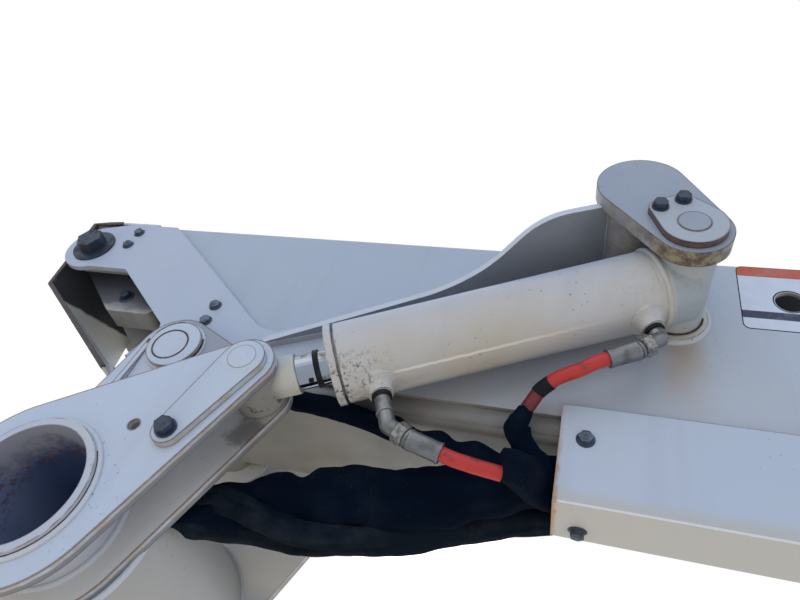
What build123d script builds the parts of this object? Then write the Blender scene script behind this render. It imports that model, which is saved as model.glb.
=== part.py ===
# Elbow of an aerial lift's folding boom: the end of the upper boom, its lift cylinder and the knuckle.
# Millimetres. X runs out along the boom, Y into it from the cylinder's side, Z up.
# The origin is the middle of the cross tube's bore. The boom lies folded level.
import os
from math import cos, hypot, radians, sin, tan

from build123d import *

os.makedirs("parts", exist_ok=True)

# Pivots, as (x, z)
TUBE_AT = (0.0, 0.0)
PIVOT_AT = (0.0, 224.5)
ROD_PIN_AT = (149.0, 173.0)
BASE_PIN_AT = (583.5, 387.5)
POST_AT = (533.0, 463.0)

# Clearances
PIN_GAP = 0.06
SLIP_GAP = 0.1
WORK_GAP = 2.0

# Boom box: an upper channel with a narrower lower channel welded inside it
BOOM_HALF = 105.0
BOOM_TOP = 493.0
BOOM_WALL = 6.0
BOOM_CORNER = 7.0
SIDE_FOOT = 228.0
BOOM_FOOT = 204.0
FOOT_CORNER = 18.0
CHANNEL_LAP = 30.0
BOOM_END = 820.0
TAIL_X = -275.0
ACCESS_HOLE = (713.0, 432.0)
ACCESS_R = 16.0
WALL_IN = BOOM_HALF - BOOM_WALL

# Tail plates, welded on the boom's sides: an arm out to the tail bolt and a lobe at the pivot
TAIL_PLATE = 8.0
TAIL_FACE = BOOM_HALF + TAIL_PLATE
TAIL_PLATE_DROP = 9.0
TAIL_TOP = BOOM_TOP - TAIL_PLATE_DROP
PIVOT_LOBE = 55.0
ARM_R = 48.0
ARM_HEEL_AT = (-236.0, 438.0)
TAIL_BOLT_AT = (-280.5, 424.0)
TAIL_BOLT_R = 12.0
TAIL_OUTLINE = (
    (-281.0, 460.0), (-236.0, TAIL_TOP), (-158.0, TAIL_TOP), (53.0, 315.0), (78.0, 296.0), (107.0, 291.0),
    (85.0, 262.0), (40.0, 204.0), (-40.0, 204.0), (-67.0, 283.0), (-191.0, 380.0), (-281.0, 380.0),
)
BOOM_CUT = ((-300.0, 380.0), (-191.0, 380.0), (-67.0, 283.0), (-106.0, 204.0), (-106.0, 150.0), (-300.0, 150.0))

# Across the unit: the knuckle's main plates, then the cylinder, the lever plate and the cap
KNUCKLE_GAP = 15.0
MAIN_THICK = 12.0
EYE_ROOM = 50.0
LEVER_THICK = 12.0
TUBE_PROUD = 8.0
BASE_EYE_WIDTH = 104.0
CAP_ROOM = 6.0
CAP_THICK = 19.0
MAIN_IN = TAIL_FACE + KNUCKLE_GAP
MAIN_FACE = MAIN_IN + MAIN_THICK
LEVER_IN = MAIN_FACE + EYE_ROOM
LEVER_FACE = LEVER_IN + LEVER_THICK
TUBE_HALF = LEVER_FACE + TUBE_PROUD
CYL_Y = -(MAIN_FACE + EYE_ROOM / 2)
CAP_INNER = BASE_EYE_WIDTH / 2 + CAP_ROOM - CYL_Y
CAP_FACE = CAP_INNER + CAP_THICK

# Strip that runs on from the near tail plate under the gusset
STRIP_FROM = 60.0
STRIP_TO = 470.0
STRIP_DROP = 6.0
STRIP_LIFT = 14.0

# Tail hood: one bent sheet round the boom's end
HOOD_SHEET = 4.0
HOOD_LAP = -204.0
HOOD_LINE = (
    (HOOD_LAP, BOOM_TOP + HOOD_SHEET / 2), (TAIL_X - 3, BOOM_TOP + HOOD_SHEET / 2), (-330.0, 488.0),
    (-311.0, 340.5), (-111.0, 203.0),
)

# Tail bolt and its washers
WASHER_R = 33.5
WASHER = 3.0
TAIL_HEAD = 17.0
TAIL_ACROSS = 36.0
BOLT_PROUD = 20.0

# Extension ram's end, on the tail bolt inside the hood
CHEEK_IN = 33.0
CHEEK_OUT = 70.0
CHEEK_R = 30.0
CHEEK_CORNER = 12.0
CHEEK_TOES = ((-212.0, 343.0), (-149.0, 343.0), (-149.0, 428.0))
RAM_FROM = -165.0
RAM_TO = 115.0
RAM_Z = 405.0
RAM_R = 36.0

# Gusset: an ogee plate that stands on the boom's side and runs up to the cap, as (along, out)
GUSSET_FROM = (95.0, 274.0)
GUSSET_SLOPE = 22.6
GUSSET_THICK = 8.0
GUSSET_BITE = 4.0
GUSSET_REACH = CAP_INNER + GUSSET_BITE - TAIL_FACE
OGEE_TOE = 2.0
OGEE_START = (215.0, 28.0)
OGEE_MIDDLE = (312.0, 70.0)
OGEE_END = 395.0

# Cap bracket over the cylinder's base
CAP_POST_R = 48.5
CAP_PIN_R = 40.0
CAP_BOSS_R = 34.0
CAP_BOSS = 4.0
POST_R = 38.0
POST_WALL = 8.0
BASE_BOSS_R = 38.0
BASE_BOSS = 6.0
RETAINER_THICK = 8.0
RETAINER_R = 33.5
RETAINER_LOBE = 11.5
RETAINER_BOLTS = ((551.0, 410.0), (574.0, 424.0))
M8_R = 4.0
M8_DEPTH = 12.0

# Cylinder: stations run from the rod's pin to the base pin
BARREL_R = 44.5
BARREL_BORE_R = 36.5
GLAND_FROM = 86.0
GLAND_R = 45.5
GLAND_LENGTH = 8.0
GLAND_GAP = 3.0
GLAND_IN = 50.0
ROD_R = 19.0
NECK_R = 22.5
NECK_END = 48.0
TIE_FROM = 68.0
TIE_WIDTH = 6.0
TIE_THICK = 2.0
PISTON_LENGTH = 40.0
PISTON_BACK = 50.0
BASE_PLUG = 20.0
BASE_BACK = 33.0
EYE_R = 28.5
EYE_WIDTH = 48.0
BASE_EYE_R = 30.5
PIN_R = 16.0
PORT_R = 13.0
PORT_BORE_R = 6.0
PORT_ROOT = 3.0
PORT_OUT = 56.0
STUB_R = 8.5
FITTING_R = 8.5
FERRULE_R = 9.5
HOSE_R = 7.5
MOUTH_GAP = 1.2
MOUTH_RUN = 4.0
MOUTH_SWING = 3.3
MOUTH_STEPS = 6

# Knuckle
TUBE_R = 69.85
TUBE_WALL = 8.0
TUBE_LOBE = 98.0
ROD_LOBE = 32.0
MAIN_PIVOT_LOBE = 48.0
HUB_R = 100.0
HUB_WALL = 8.0
WEB_X = -38.0
WEB_THICK = 8.0
WEB_TOP = 235.0
WEB_KNEE = (7.0, 159.0)
WEB_SHOULDER = 88.0
LEVER_HOLE_AT = (70.0, 81.0)
LEVER_HOLE_R = 6.2
STRAP_THICK = 8.0
STRAP_R = 24.0
STRAP_FOOT_R = 16.0
STRAP_BOLT_AT = (113.0, 78.5)
M10_R = 5.0
PIN_HEAD_R = 15.5
PIN_HEAD = 2.0

# Pivot
PIVOT_PIN_R = 22.5
PIVOT_RING_AT = (4.0, 226.0)
PIVOT_RING_R = 35.0
PIVOT_RING = 8.0
PIVOT_SLEEVE_R = 31.0

# Hose cover under the boom, and its two brackets
COVER_X = 471.0
COVER_SHEET = 3.0
COVER_OUT = 10.0
COVER_TOP = 236.0
COVER_FOOT = 124.0
COVER_IN = 71.0
BRACKETS_X = (497.0, 790.0)
BRACKET_WIDTH = 30.0
BRACKET_PLATE = 6.0
BRACKET_HOOK = 19.0
BRACKET_SHORT = 4.0

# Ports, fittings and hoses: the stub goes down from the port, then points as x, y in from the cylinder, z
HOSE_LEAD = 12.0
HOSE_CORNER_R = 34.0
PORTS = (
    dict(name="a", station=132.0, stub=38.0, bend=(333.0, 3.0, 137.0), end=(366.0, 8.0, 130.0),
         hose=((397.5, 15.0, 127.0), (425.0, 23.0, 128.0))),
    dict(name="b", station=425.0, stub=14.0, bend=(540.0, 0.0, 280.0), end=(511.0, 0.0, 264.0),
         hose=((486.0, 5.0, 250.0), (464.0, 15.0, 244.0), (447.0, 28.0, 235.0), (433.0, 46.0, 217.0))),
)

# Fabric sleeves under the boom: half-width, then points as x, y in from the boom's side, z
SLEEVES = (
    dict(name="hose_sleeve", r=27.0, corner_r=150.0,
         route=((520.0, 31.0, 164.0), (470.0, 33.0, 160.0), (420.0, 39.0, 150.0), (330.0, 43.0, 133.0),
                (250.0, 45.0, 112.0), (190.0, 47.0, 102.0), (150.0, 49.0, 104.0))),
    dict(name="hose_sleeve", r=9.5, corner_r=90.0,
         route=((455.0, 23.0, 156.0), (425.0, 15.0, 157.0), (370.0, 7.0, 168.0), (330.0, 5.0, 177.0),
                (270.0, 3.0, 188.0), (210.0, 2.0, 195.0), (145.0, 1.0, 203.0))),
    dict(name="hose_sleeve", r=11.0, corner_r=22.0,
         route=((431.0, -13.0, 214.0), (431.0, -7.0, 196.0), (440.0, 7.0, 180.0), (458.0, 21.0, 166.0))),
    dict(name="sleeve_low", r=20.0, corner_r=120.0,
         route=((520.0, 107.0, 172.0), (430.0, 105.0, 155.0), (347.0, 105.0, 121.0), (298.0, 105.0, 106.0),
                (235.0, 105.0, 96.0), (190.0, 105.0, 98.0))),
)

parts = {}


def slab(sketch, y_from, y_to):
    """A flat plate cut from a side view (x right, z up) between two Y stations."""
    lo, hi = min(y_from, y_to), max(y_from, y_to)
    side = Plane(origin=(0, hi, 0), x_dir=(1, 0, 0), z_dir=(0, -1, 0))
    return extrude(side * sketch, amount=hi - lo)


def disc(at, r, y_from, y_to):
    """A round bar across the boom."""
    return slab(Pos(*at) * Circle(r), y_from, y_to)


def bore(at, r):
    """A cutter for a hole right across."""
    return disc(at, r, -2 * CAP_FACE, 2 * CAP_FACE)


def flat(*points):
    """A flat polygon, always facing the same way."""
    turn = sum(a[0] * b[1] - b[0] * a[1] for a, b in zip(points, points[1:] + points[:1]))
    return Polygon(*(points if turn > 0 else points[::-1]), align=None)


def hull(*circles):
    """The flat outline drawn tight round circles given as ((x, z), r)."""
    edges = ShapeList()
    for at, r in circles:
        edges += (Pos(*at) * Circle(r)).edges()
    return make_hull(edges)


def bar(start, way, r, length):
    """A round bar from start along way."""
    return extrude(Plane(origin=start, z_dir=way) * Circle(r), amount=length)


def rod_between(a, b, r):
    """A round bar between two points."""
    return bar(tuple(a), tuple(b - a), r, (b - a).length)


def across_section(sketch, x_from, x_to):
    """A length of section (y right, z up) between two X stations."""
    return extrude(Plane(origin=(x_from, 0, 0), x_dir=(0, 1, 0), z_dir=(1, 0, 0)) * sketch, amount=x_to - x_from)


def flange_bolt(at, face, size, shank):
    """Hexagon flange bolt seated on a face that looks out of the cylinder's side."""
    rim, head = size * 0.22, size
    bolt = disc(at, size * 1.1, -face, -face - rim)
    bolt += slab(Pos(*at) * RegularPolygon(size * 0.8, 6, major_radius=False), -face - rim, -face - head)
    return bolt + disc(at, size / 2 - PIN_GAP, -face, -face + shank)


# The cylinder's line, from the rod's pin to the base pin
reach = hypot(BASE_PIN_AT[0] - ROD_PIN_AT[0], BASE_PIN_AT[1] - ROD_PIN_AT[1])
run = ((BASE_PIN_AT[0] - ROD_PIN_AT[0]) / reach, (BASE_PIN_AT[1] - ROD_PIN_AT[1]) / reach)
down = (run[1], 0, -run[0])


def on_cylinder(station, drop=0.0):
    """A point at a distance from the rod's pin, and below the cylinder's line by drop."""
    return (
        ROD_PIN_AT[0] + station * run[0] + drop * down[0],
        CYL_Y,
        ROD_PIN_AT[1] + station * run[1] + drop * down[2],
    )


def along(r, s_from, s_to, inner=0.0):
    """A round bar or tube on the cylinder's line between two stations."""
    ring = Circle(r) - Circle(inner) if inner else Circle(r)
    place = Plane(origin=on_cylinder(s_from), z_dir=(run[0], 0, run[1]))
    return extrude(place * ring, amount=s_to - s_from)


def inward(y, points):
    """Points whose second number counts in from a plane at y."""
    return [Vector(px, y + py, pz) for px, py, pz in points]


def hose_along(points, r, corner_r):
    """A round hose on straight runs joined by tangent arcs."""
    line = FilletPolyline(*points, radius=[corner_r] * (len(points) - 2))
    return sweep(Plane(origin=line @ 0, z_dir=line % 0) * Circle(r), path=line)


def biggest(shape):
    return max(shape.solids(), key=lambda solid: solid.volume)


# Boom box
def boom_section(inset):
    half, top = BOOM_HALF - inset, BOOM_TOP - inset
    low = SIDE_FOOT + (CHANNEL_LAP if inset else 0)
    shell = Pos(0, (top + low) / 2) * Rectangle(2 * half, top - low)
    shell = fillet(shell.vertices().group_by(Axis.Y)[-1], BOOM_CORNER - inset)
    foot, lap = BOOM_FOOT + inset, SIDE_FOOT + CHANNEL_LAP
    trough = Pos(0, (lap + foot) / 2) * Rectangle(2 * (WALL_IN - inset), lap - foot)
    trough = fillet(trough.vertices().group_by(Axis.Y)[0], FOOT_CORNER - inset)
    return shell + trough


boom = across_section(boom_section(0), TAIL_X, BOOM_END)
boom -= across_section(boom_section(BOOM_WALL), TAIL_X, BOOM_END)
boom -= slab(flat(*BOOM_CUT), -TAIL_FACE, TAIL_FACE)
boom -= bore(PIVOT_AT, PIVOT_SLEEVE_R) + bore(TAIL_BOLT_AT, TAIL_BOLT_R)
boom -= disc(BASE_PIN_AT, PIN_R, -TAIL_FACE, 0)
boom -= disc(ACCESS_HOLE, ACCESS_R, -TAIL_FACE, 0)
parts["boom_box"] = boom

# Tail plates
rise = tan(radians(GUSSET_SLOPE))


def gusset_z(x, lift):
    return GUSSET_FROM[1] + (x - GUSSET_FROM[0]) * rise + lift


outline = flat(*TAIL_OUTLINE) + hull((TAIL_BOLT_AT, ARM_R), (ARM_HEEL_AT, TAIL_TOP - ARM_HEEL_AT[1]))
outline += Pos(*PIVOT_AT) * Circle(PIVOT_LOBE)
strip = flat(
    (STRIP_FROM, gusset_z(STRIP_FROM, -STRIP_DROP)), (STRIP_TO, gusset_z(STRIP_TO, -STRIP_DROP)),
    (STRIP_TO, gusset_z(STRIP_TO, STRIP_LIFT)), (STRIP_FROM, gusset_z(STRIP_FROM, STRIP_LIFT)),
)
tail_holes = bore(PIVOT_AT, PIVOT_SLEEVE_R) + bore(TAIL_BOLT_AT, TAIL_BOLT_R)
parts["tail_plate_near"] = slab(outline + strip, -BOOM_HALF, -TAIL_FACE) - tail_holes
parts["tail_plate_far"] = slab(outline, BOOM_HALF, TAIL_FACE) - tail_holes

# Tail hood, between the tail plates and lapped on the boom's top
hood = slab(trace(Polyline(*HOOD_LINE), HOOD_SHEET), -BOOM_HALF + SLIP_GAP, BOOM_HALF - SLIP_GAP)
parts["tail_hood"] = biggest(hood - boom)

# Tail bolt, nut and washers
bolt_seat = TAIL_FACE + WASHER
hexagon = Pos(*TAIL_BOLT_AT) * RegularPolygon(TAIL_ACROSS / 2, 6, major_radius=False)
parts["tail_washer_near"] = disc(TAIL_BOLT_AT, WASHER_R, -TAIL_FACE, -bolt_seat) - bore(TAIL_BOLT_AT, TAIL_BOLT_R)
parts["tail_washer_far"] = disc(TAIL_BOLT_AT, WASHER_R, TAIL_FACE, bolt_seat) - bore(TAIL_BOLT_AT, TAIL_BOLT_R)
shank = disc(TAIL_BOLT_AT, TAIL_BOLT_R - PIN_GAP, -bolt_seat, bolt_seat + BOLT_PROUD)
parts["tail_bolt"] = shank + slab(hexagon, -bolt_seat, -bolt_seat - TAIL_HEAD)
parts["tail_nut"] = slab(hexagon, bolt_seat, bolt_seat + TAIL_HEAD) - bore(TAIL_BOLT_AT, TAIL_BOLT_R)

# Extension ram: two cheeks on the tail bolt, a block between them and the ram's tube
cheek = hull((TAIL_BOLT_AT, CHEEK_R), *[(toe, CHEEK_CORNER) for toe in CHEEK_TOES])
block_from, block_to = RAM_FROM - CHEEK_CORNER, CHEEK_TOES[1][0] + CHEEK_CORNER
block = Pos((block_from + block_to) / 2, 0, RAM_Z) * Box(block_to - block_from, 2 * CHEEK_OUT, 2 * CHEEK_R)
ram = slab(cheek, -CHEEK_OUT, -CHEEK_IN) + slab(cheek, CHEEK_IN, CHEEK_OUT) + block
ram += bar((RAM_FROM, 0, RAM_Z), (1, 0, 0), RAM_R, RAM_TO - RAM_FROM)
parts["extension_ram"] = ram - bore(TAIL_BOLT_AT, TAIL_BOLT_R)

# Pivot sleeve that turns on the pin
parts["pivot_sleeve"] = disc(PIVOT_AT, PIVOT_SLEEVE_R, -MAIN_IN + WORK_GAP, MAIN_IN - WORK_GAP) - bore(
    PIVOT_AT, PIVOT_PIN_R + PIN_GAP)

# Gusset, with the cap's outline taken out of it
slope = radians(GUSSET_SLOPE)
gusset_plane = Plane(
    origin=(GUSSET_FROM[0], -TAIL_FACE, GUSSET_FROM[1]),
    x_dir=(cos(slope), 0, sin(slope)),
    z_dir=(sin(slope), 0, -cos(slope)),
)
gusset_end = (POST_AT[0] - GUSSET_FROM[0]) / cos(slope) - POST_R - SLIP_GAP
toe, crest = (0, OGEE_TOE), (OGEE_END, GUSSET_REACH)
ogee = Line((0, 0), toe) + Line(toe, OGEE_START)
ogee += Spline(OGEE_START, OGEE_MIDDLE, crest, tangents=((0.98, 0.17), (1, 0)))
ogee += Line(crest, (gusset_end, GUSSET_REACH)) + Line((gusset_end, GUSSET_REACH), (gusset_end, 0))
ogee += Line((gusset_end, 0), (0, 0))
cap_outline = hull((POST_AT, CAP_POST_R), (BASE_PIN_AT, CAP_PIN_R))
out = 1 if gusset_plane.y_dir.Y < 0 else -1
face = make_face(ogee) if out > 0 else mirror(make_face(ogee), about=Plane.XZ)
gusset = extrude(gusset_plane * face, amount=GUSSET_THICK / 2, both=True)
parts["gusset"] = biggest(gusset - slab(cap_outline, -CAP_FACE, -CAP_INNER))

# Cap bracket
pin_hole = bore(BASE_PIN_AT, PIN_R)
retainer_face = CAP_FACE + RETAINER_THICK
parts["cap_post"] = disc(POST_AT, POST_R, -CAP_INNER, -BOOM_HALF) - disc(POST_AT, POST_R - POST_WALL, -CAP_INNER, -BOOM_HALF)
cap = slab(cap_outline, -CAP_FACE, -CAP_INNER) + disc(BASE_PIN_AT, CAP_BOSS_R, -CAP_INNER, -CAP_INNER + CAP_BOSS) - pin_hole
plate = slab(hull((BASE_PIN_AT, RETAINER_R), *[(at, RETAINER_LOBE) for at in RETAINER_BOLTS]), -retainer_face, -CAP_FACE)
plate -= pin_hole
for i, at in enumerate(RETAINER_BOLTS, 1):
    parts[f"retainer_bolt_{i}"] = flange_bolt(at, retainer_face, 2 * M8_R, RETAINER_THICK + M8_DEPTH)
    plate -= bore(at, M8_R)
    cap -= disc(at, M8_R, -CAP_FACE, -CAP_FACE + M8_DEPTH)
parts["cap_plate"] = cap
parts["pin_retainer"] = plate
parts["base_boss"] = disc(BASE_PIN_AT, BASE_BOSS_R, -BOOM_HALF - BASE_BOSS, -BOOM_HALF) - pin_hole
parts["base_pin"] = disc(BASE_PIN_AT, PIN_R - PIN_GAP, -retainer_face - 1, -WALL_IN)

# Hose cover and its brackets
cover_face = BOOM_HALF + COVER_OUT
skin, cover_wall = COVER_SHEET / 2, cover_face - COVER_SHEET
cover_line = Polyline(
    (-BOOM_HALF - skin, COVER_TOP), (-cover_face + skin, COVER_TOP),
    (-cover_face + skin, COVER_FOOT + skin), (-cover_face + COVER_IN, COVER_FOOT + skin),
)
cover = across_section(trace(cover_line, COVER_SHEET), COVER_X, BOOM_END)
leg, foot = -cover_wall + BRACKET_PLATE, COVER_FOOT + COVER_SHEET
toe = -cover_face + COVER_IN - BRACKET_SHORT
hook_foot = SIDE_FOOT - BRACKET_HOOK
bracket_section = flat(
    (-cover_wall, SIDE_FOOT), (-cover_wall, foot), (toe, foot), (toe, foot + BRACKET_PLATE),
    (leg, foot + BRACKET_PLATE), (leg, hook_foot), (-WALL_IN, hook_foot), (-WALL_IN, SIDE_FOOT),
)
for i, x in enumerate(BRACKETS_X, 1):
    parts[f"cover_bracket_{i}"] = across_section(bracket_section, x - BRACKET_WIDTH / 2, x + BRACKET_WIDTH / 2)
parts["hose_cover"] = cover

# Barrel, its gland and its base eye
barrel_from, plug_from = GLAND_FROM + GLAND_LENGTH + GLAND_GAP, reach - BASE_BACK - BASE_PLUG
barrel = along(BARREL_R, barrel_from, reach, BARREL_BORE_R) + along(BARREL_R, plug_from, reach)
barrel = biggest(barrel - disc(BASE_PIN_AT, BASE_EYE_R, -CAP_FACE, 0))
for port in PORTS:
    root = on_cylinder(port["station"], BARREL_BORE_R + PORT_ROOT)
    barrel += bar(root, down, PORT_R, PORT_OUT - BARREL_BORE_R - PORT_ROOT)
for port in PORTS:
    barrel -= bar(on_cylinder(port["station"], BARREL_BORE_R - PORT_ROOT), down, PORT_BORE_R, PORT_OUT)
parts["barrel_tube"] = barrel
parts["base_eye"] = disc(BASE_PIN_AT, BASE_EYE_R, CYL_Y - BASE_EYE_WIDTH / 2, CYL_Y + BASE_EYE_WIDTH / 2) - bore(
    BASE_PIN_AT, PIN_R + PIN_GAP)
gland = along(GLAND_R, GLAND_FROM, GLAND_FROM + GLAND_LENGTH) + along(BARREL_BORE_R, GLAND_FROM, GLAND_FROM + GLAND_IN)
parts["gland"] = gland - along(ROD_R + PIN_GAP, GLAND_FROM, GLAND_FROM + GLAND_IN)

# Rod with its neck, eye and piston
piston_from = plug_from - PISTON_BACK
rod_hole = bore(ROD_PIN_AT, PIN_R + PIN_GAP)
rod = disc(ROD_PIN_AT, EYE_R, CYL_Y - EYE_WIDTH / 2, CYL_Y + EYE_WIDTH / 2) + along(NECK_R, 0, NECK_END)
parts["rod_eye"] = rod - rod_hole
parts["piston_rod"] = along(ROD_R, NECK_END, piston_from + PISTON_LENGTH) + along(
    BARREL_BORE_R - SLIP_GAP, piston_from, piston_from + PISTON_LENGTH)
parts["rod_tie"] = along(ROD_R + TIE_THICK, TIE_FROM, TIE_FROM + TIE_WIDTH, ROD_R)

# Fittings and hoses
for port in PORTS:
    corner = Vector(*on_cylinder(port["station"], PORT_OUT + port["stub"]))
    bend, end, *hose = inward(CYL_Y, (port["bend"], port["end"], *port["hose"]))
    fitting = bar(on_cylinder(port["station"], PORT_OUT), down, STUB_R, port["stub"]) + rod_between(corner, bend, FITTING_R)
    fitting += rod_between(bend, end, FERRULE_R) + Pos(*corner) * Sphere(FITTING_R) + Pos(*bend) * Sphere(FERRULE_R)
    parts[f"fitting_{port['name']}"] = fitting
    hose = [end, end + (end - bend).normalized() * HOSE_LEAD, *hose]
    parts[f"hose_{port['name']}"] = hose_along(hose, HOSE_R, HOSE_CORNER_R)

# Fabric sleeves
for sleeve in SLEEVES:
    tube = hose_along(inward(-BOOM_HALF, sleeve["route"]), sleeve["r"], sleeve["corner_r"])
    parts[sleeve["name"]] = parts[sleeve["name"]] + tube if sleeve["name"] in parts else tube
parts["hose_sleeve"] -= parts["hose_a"]

# Hose b swings with the barrel on the base pin, so its mouth in the sleeve is open along that swing
last_run = (hose[-1] - hose[-2]).normalized() * MOUTH_RUN
room = hose_along(hose, HOSE_R + MOUTH_GAP, HOSE_CORNER_R) + rod_between(hose[-1], hose[-1] + last_run, HOSE_R + MOUTH_GAP)
base_axis = Axis((BASE_PIN_AT[0], CYL_Y, BASE_PIN_AT[1]), (0, -1, 0))
for step in range(MOUTH_STEPS + 1):
    parts["hose_sleeve"] -= room.rotate(base_axis, MOUTH_SWING * step / MOUTH_STEPS)
parts["hose_sleeve"] = biggest(parts["hose_sleeve"])

# Knuckle: tube, lever plate, main plates, drum and web
tube_hole, pivot_hole, rod_pin_hole = bore(TUBE_AT, TUBE_R), bore(PIVOT_AT, PIVOT_PIN_R), bore(ROD_PIN_AT, PIN_R)
parts["cross_tube"] = disc(TUBE_AT, TUBE_R, -TUBE_HALF, TUBE_HALF) - bore(TUBE_AT, TUBE_R - TUBE_WALL)
lever = slab(hull((TUBE_AT, TUBE_LOBE), (ROD_PIN_AT, ROD_LOBE)), -LEVER_FACE, -LEVER_IN)
parts["lever_plate"] = lever - tube_hole - rod_pin_hole - bore(LEVER_HOLE_AT, LEVER_HOLE_R) - bore(STRAP_BOLT_AT, M10_R)
main_outline = hull((TUBE_AT, TUBE_LOBE), (ROD_PIN_AT, ROD_LOBE), (PIVOT_AT, MAIN_PIVOT_LOBE))
near = slab(main_outline, -MAIN_FACE, -MAIN_IN) + disc(PIVOT_RING_AT, PIVOT_RING_R, -MAIN_FACE - PIVOT_RING, -MAIN_FACE)
parts["main_plate_near"] = near - tube_hole - rod_pin_hole - pivot_hole
far = slab(main_outline, MAIN_IN, MAIN_FACE)
far += disc(PIVOT_RING_AT, PIVOT_RING_R, MAIN_FACE, MAIN_FACE + PIVOT_RING)
parts["main_plate_far"] = far - tube_hole - pivot_hole
drum = disc(TUBE_AT, HUB_R, -MAIN_IN, MAIN_IN) - tube_hole
parts["hub_drum"] = drum - disc(TUBE_AT, HUB_R - HUB_WALL, -MAIN_IN + HUB_WALL, MAIN_IN - HUB_WALL)
web = flat((-MAIN_FACE, WEB_TOP), (-MAIN_FACE - WEB_KNEE[0], WEB_KNEE[1]), (-LEVER_IN, WEB_SHOULDER),
           (-LEVER_IN, 0), (-MAIN_FACE, 0))
parts["web_gusset"] = across_section(web, WEB_X - WEB_THICK / 2, WEB_X + WEB_THICK / 2) - tube_hole

# Pins of the knuckle
pin_half = MAIN_FACE + PIVOT_RING
parts["pivot_pin"] = disc(PIVOT_AT, PIVOT_PIN_R - PIN_GAP, -pin_half, pin_half)
strap_face = LEVER_FACE + STRAP_THICK
strap = slab(hull((ROD_PIN_AT, STRAP_R), (STRAP_BOLT_AT, STRAP_FOOT_R)), -strap_face, -LEVER_FACE)
strap += disc(ROD_PIN_AT, PIN_HEAD_R, -strap_face - PIN_HEAD, -strap_face)
strap += disc(ROD_PIN_AT, PIN_R - PIN_GAP, -LEVER_FACE, -LEVER_IN)
parts["pin_strap"] = strap - bore(STRAP_BOLT_AT, M10_R)
parts["strap_bolt"] = flange_bolt(STRAP_BOLT_AT, strap_face, 2 * M10_R, STRAP_THICK + LEVER_THICK)
parts["rod_pin"] = disc(ROD_PIN_AT, PIN_R - PIN_GAP, -MAIN_FACE, -MAIN_IN)

for name, shape in parts.items():
    solids = shape.solids()
    if len(solids) != 1:
        print("more than one solid:", name, len(solids))
    solid = solids[0] if len(solids) == 1 else Compound(children=list(solids))
    solid.label = name
    export_step(solid, f"parts/{name}.step")
print(len(parts), "nodes")
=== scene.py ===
"""Looks of the boom elbow unit: paint, small bolts, welds, hose fittings, fabric sleeves, light and camera.

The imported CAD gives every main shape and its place. Places below are in millimetres in the CAD's
frame, as in the part's source, and place() turns them into Blender's metres. Materials read their
points in metres: x along the boom, y across it and z up.
"""

from math import cos, hypot, pi, radians, sin, tan

import bmesh
import bpy
from mathutils import Matrix, Quaternion, Vector, noise


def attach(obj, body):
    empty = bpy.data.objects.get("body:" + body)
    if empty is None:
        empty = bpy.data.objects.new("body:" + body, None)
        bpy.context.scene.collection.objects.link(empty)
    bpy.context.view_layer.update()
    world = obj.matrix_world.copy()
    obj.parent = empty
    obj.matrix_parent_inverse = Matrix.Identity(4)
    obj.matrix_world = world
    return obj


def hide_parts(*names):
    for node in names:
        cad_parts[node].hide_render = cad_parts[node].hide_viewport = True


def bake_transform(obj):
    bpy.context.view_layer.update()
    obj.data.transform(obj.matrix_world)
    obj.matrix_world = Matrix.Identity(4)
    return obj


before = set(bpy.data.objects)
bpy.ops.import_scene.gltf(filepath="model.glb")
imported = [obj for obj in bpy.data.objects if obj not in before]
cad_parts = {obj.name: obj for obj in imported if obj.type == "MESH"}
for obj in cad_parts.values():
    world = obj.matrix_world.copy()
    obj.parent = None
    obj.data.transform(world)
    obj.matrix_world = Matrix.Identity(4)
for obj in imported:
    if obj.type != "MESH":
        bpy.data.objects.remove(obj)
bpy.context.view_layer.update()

MM = 0.001


def place(x, y, z):
    return Vector((x, y, z)) * MM


# Places on the unit, as the CAD has them: x along the boom and z up
PIVOT_AT = (0, 224.5)
PIVOT_RING_AT = (4, 226)
ROD_PIN_AT = (149, 173)
BASE_PIN_AT = (583.5, 387.5)
TUBE_AT = (0, 0)
ACCESS_HOLE = (713, 432)
BOOM_FACE = -105
TAIL_FACE = -113
COVER_FACE = -115
COVER_FOOT = 124
MAIN_FACE = -140
LEVER_FACE = -202
CYLINDER_Y = -165
BARREL_R = 44.5
TUBE_R = 69.85
DRUM_R = 100
ALONG, NEAR, FAR, TOP, UNDER = (Vector(way) for way in ((1, 0, 0), (0, -1, 0), (0, 1, 0), (0, 0, 1), (0, 0, -1)))

cylinder_reach = hypot(BASE_PIN_AT[0] - ROD_PIN_AT[0], BASE_PIN_AT[1] - ROD_PIN_AT[1])
run = Vector((BASE_PIN_AT[0] - ROD_PIN_AT[0], 0, BASE_PIN_AT[1] - ROD_PIN_AT[1])) / cylinder_reach
down = Vector((run.z, 0, -run.x))


def on_cylinder(station, drop=0):
    """A point at a distance from the rod's pin along the cylinder, and below its line by drop."""
    return place(ROD_PIN_AT[0], CYLINDER_Y, ROD_PIN_AT[1]) + (run * station + down * drop) * MM


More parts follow.
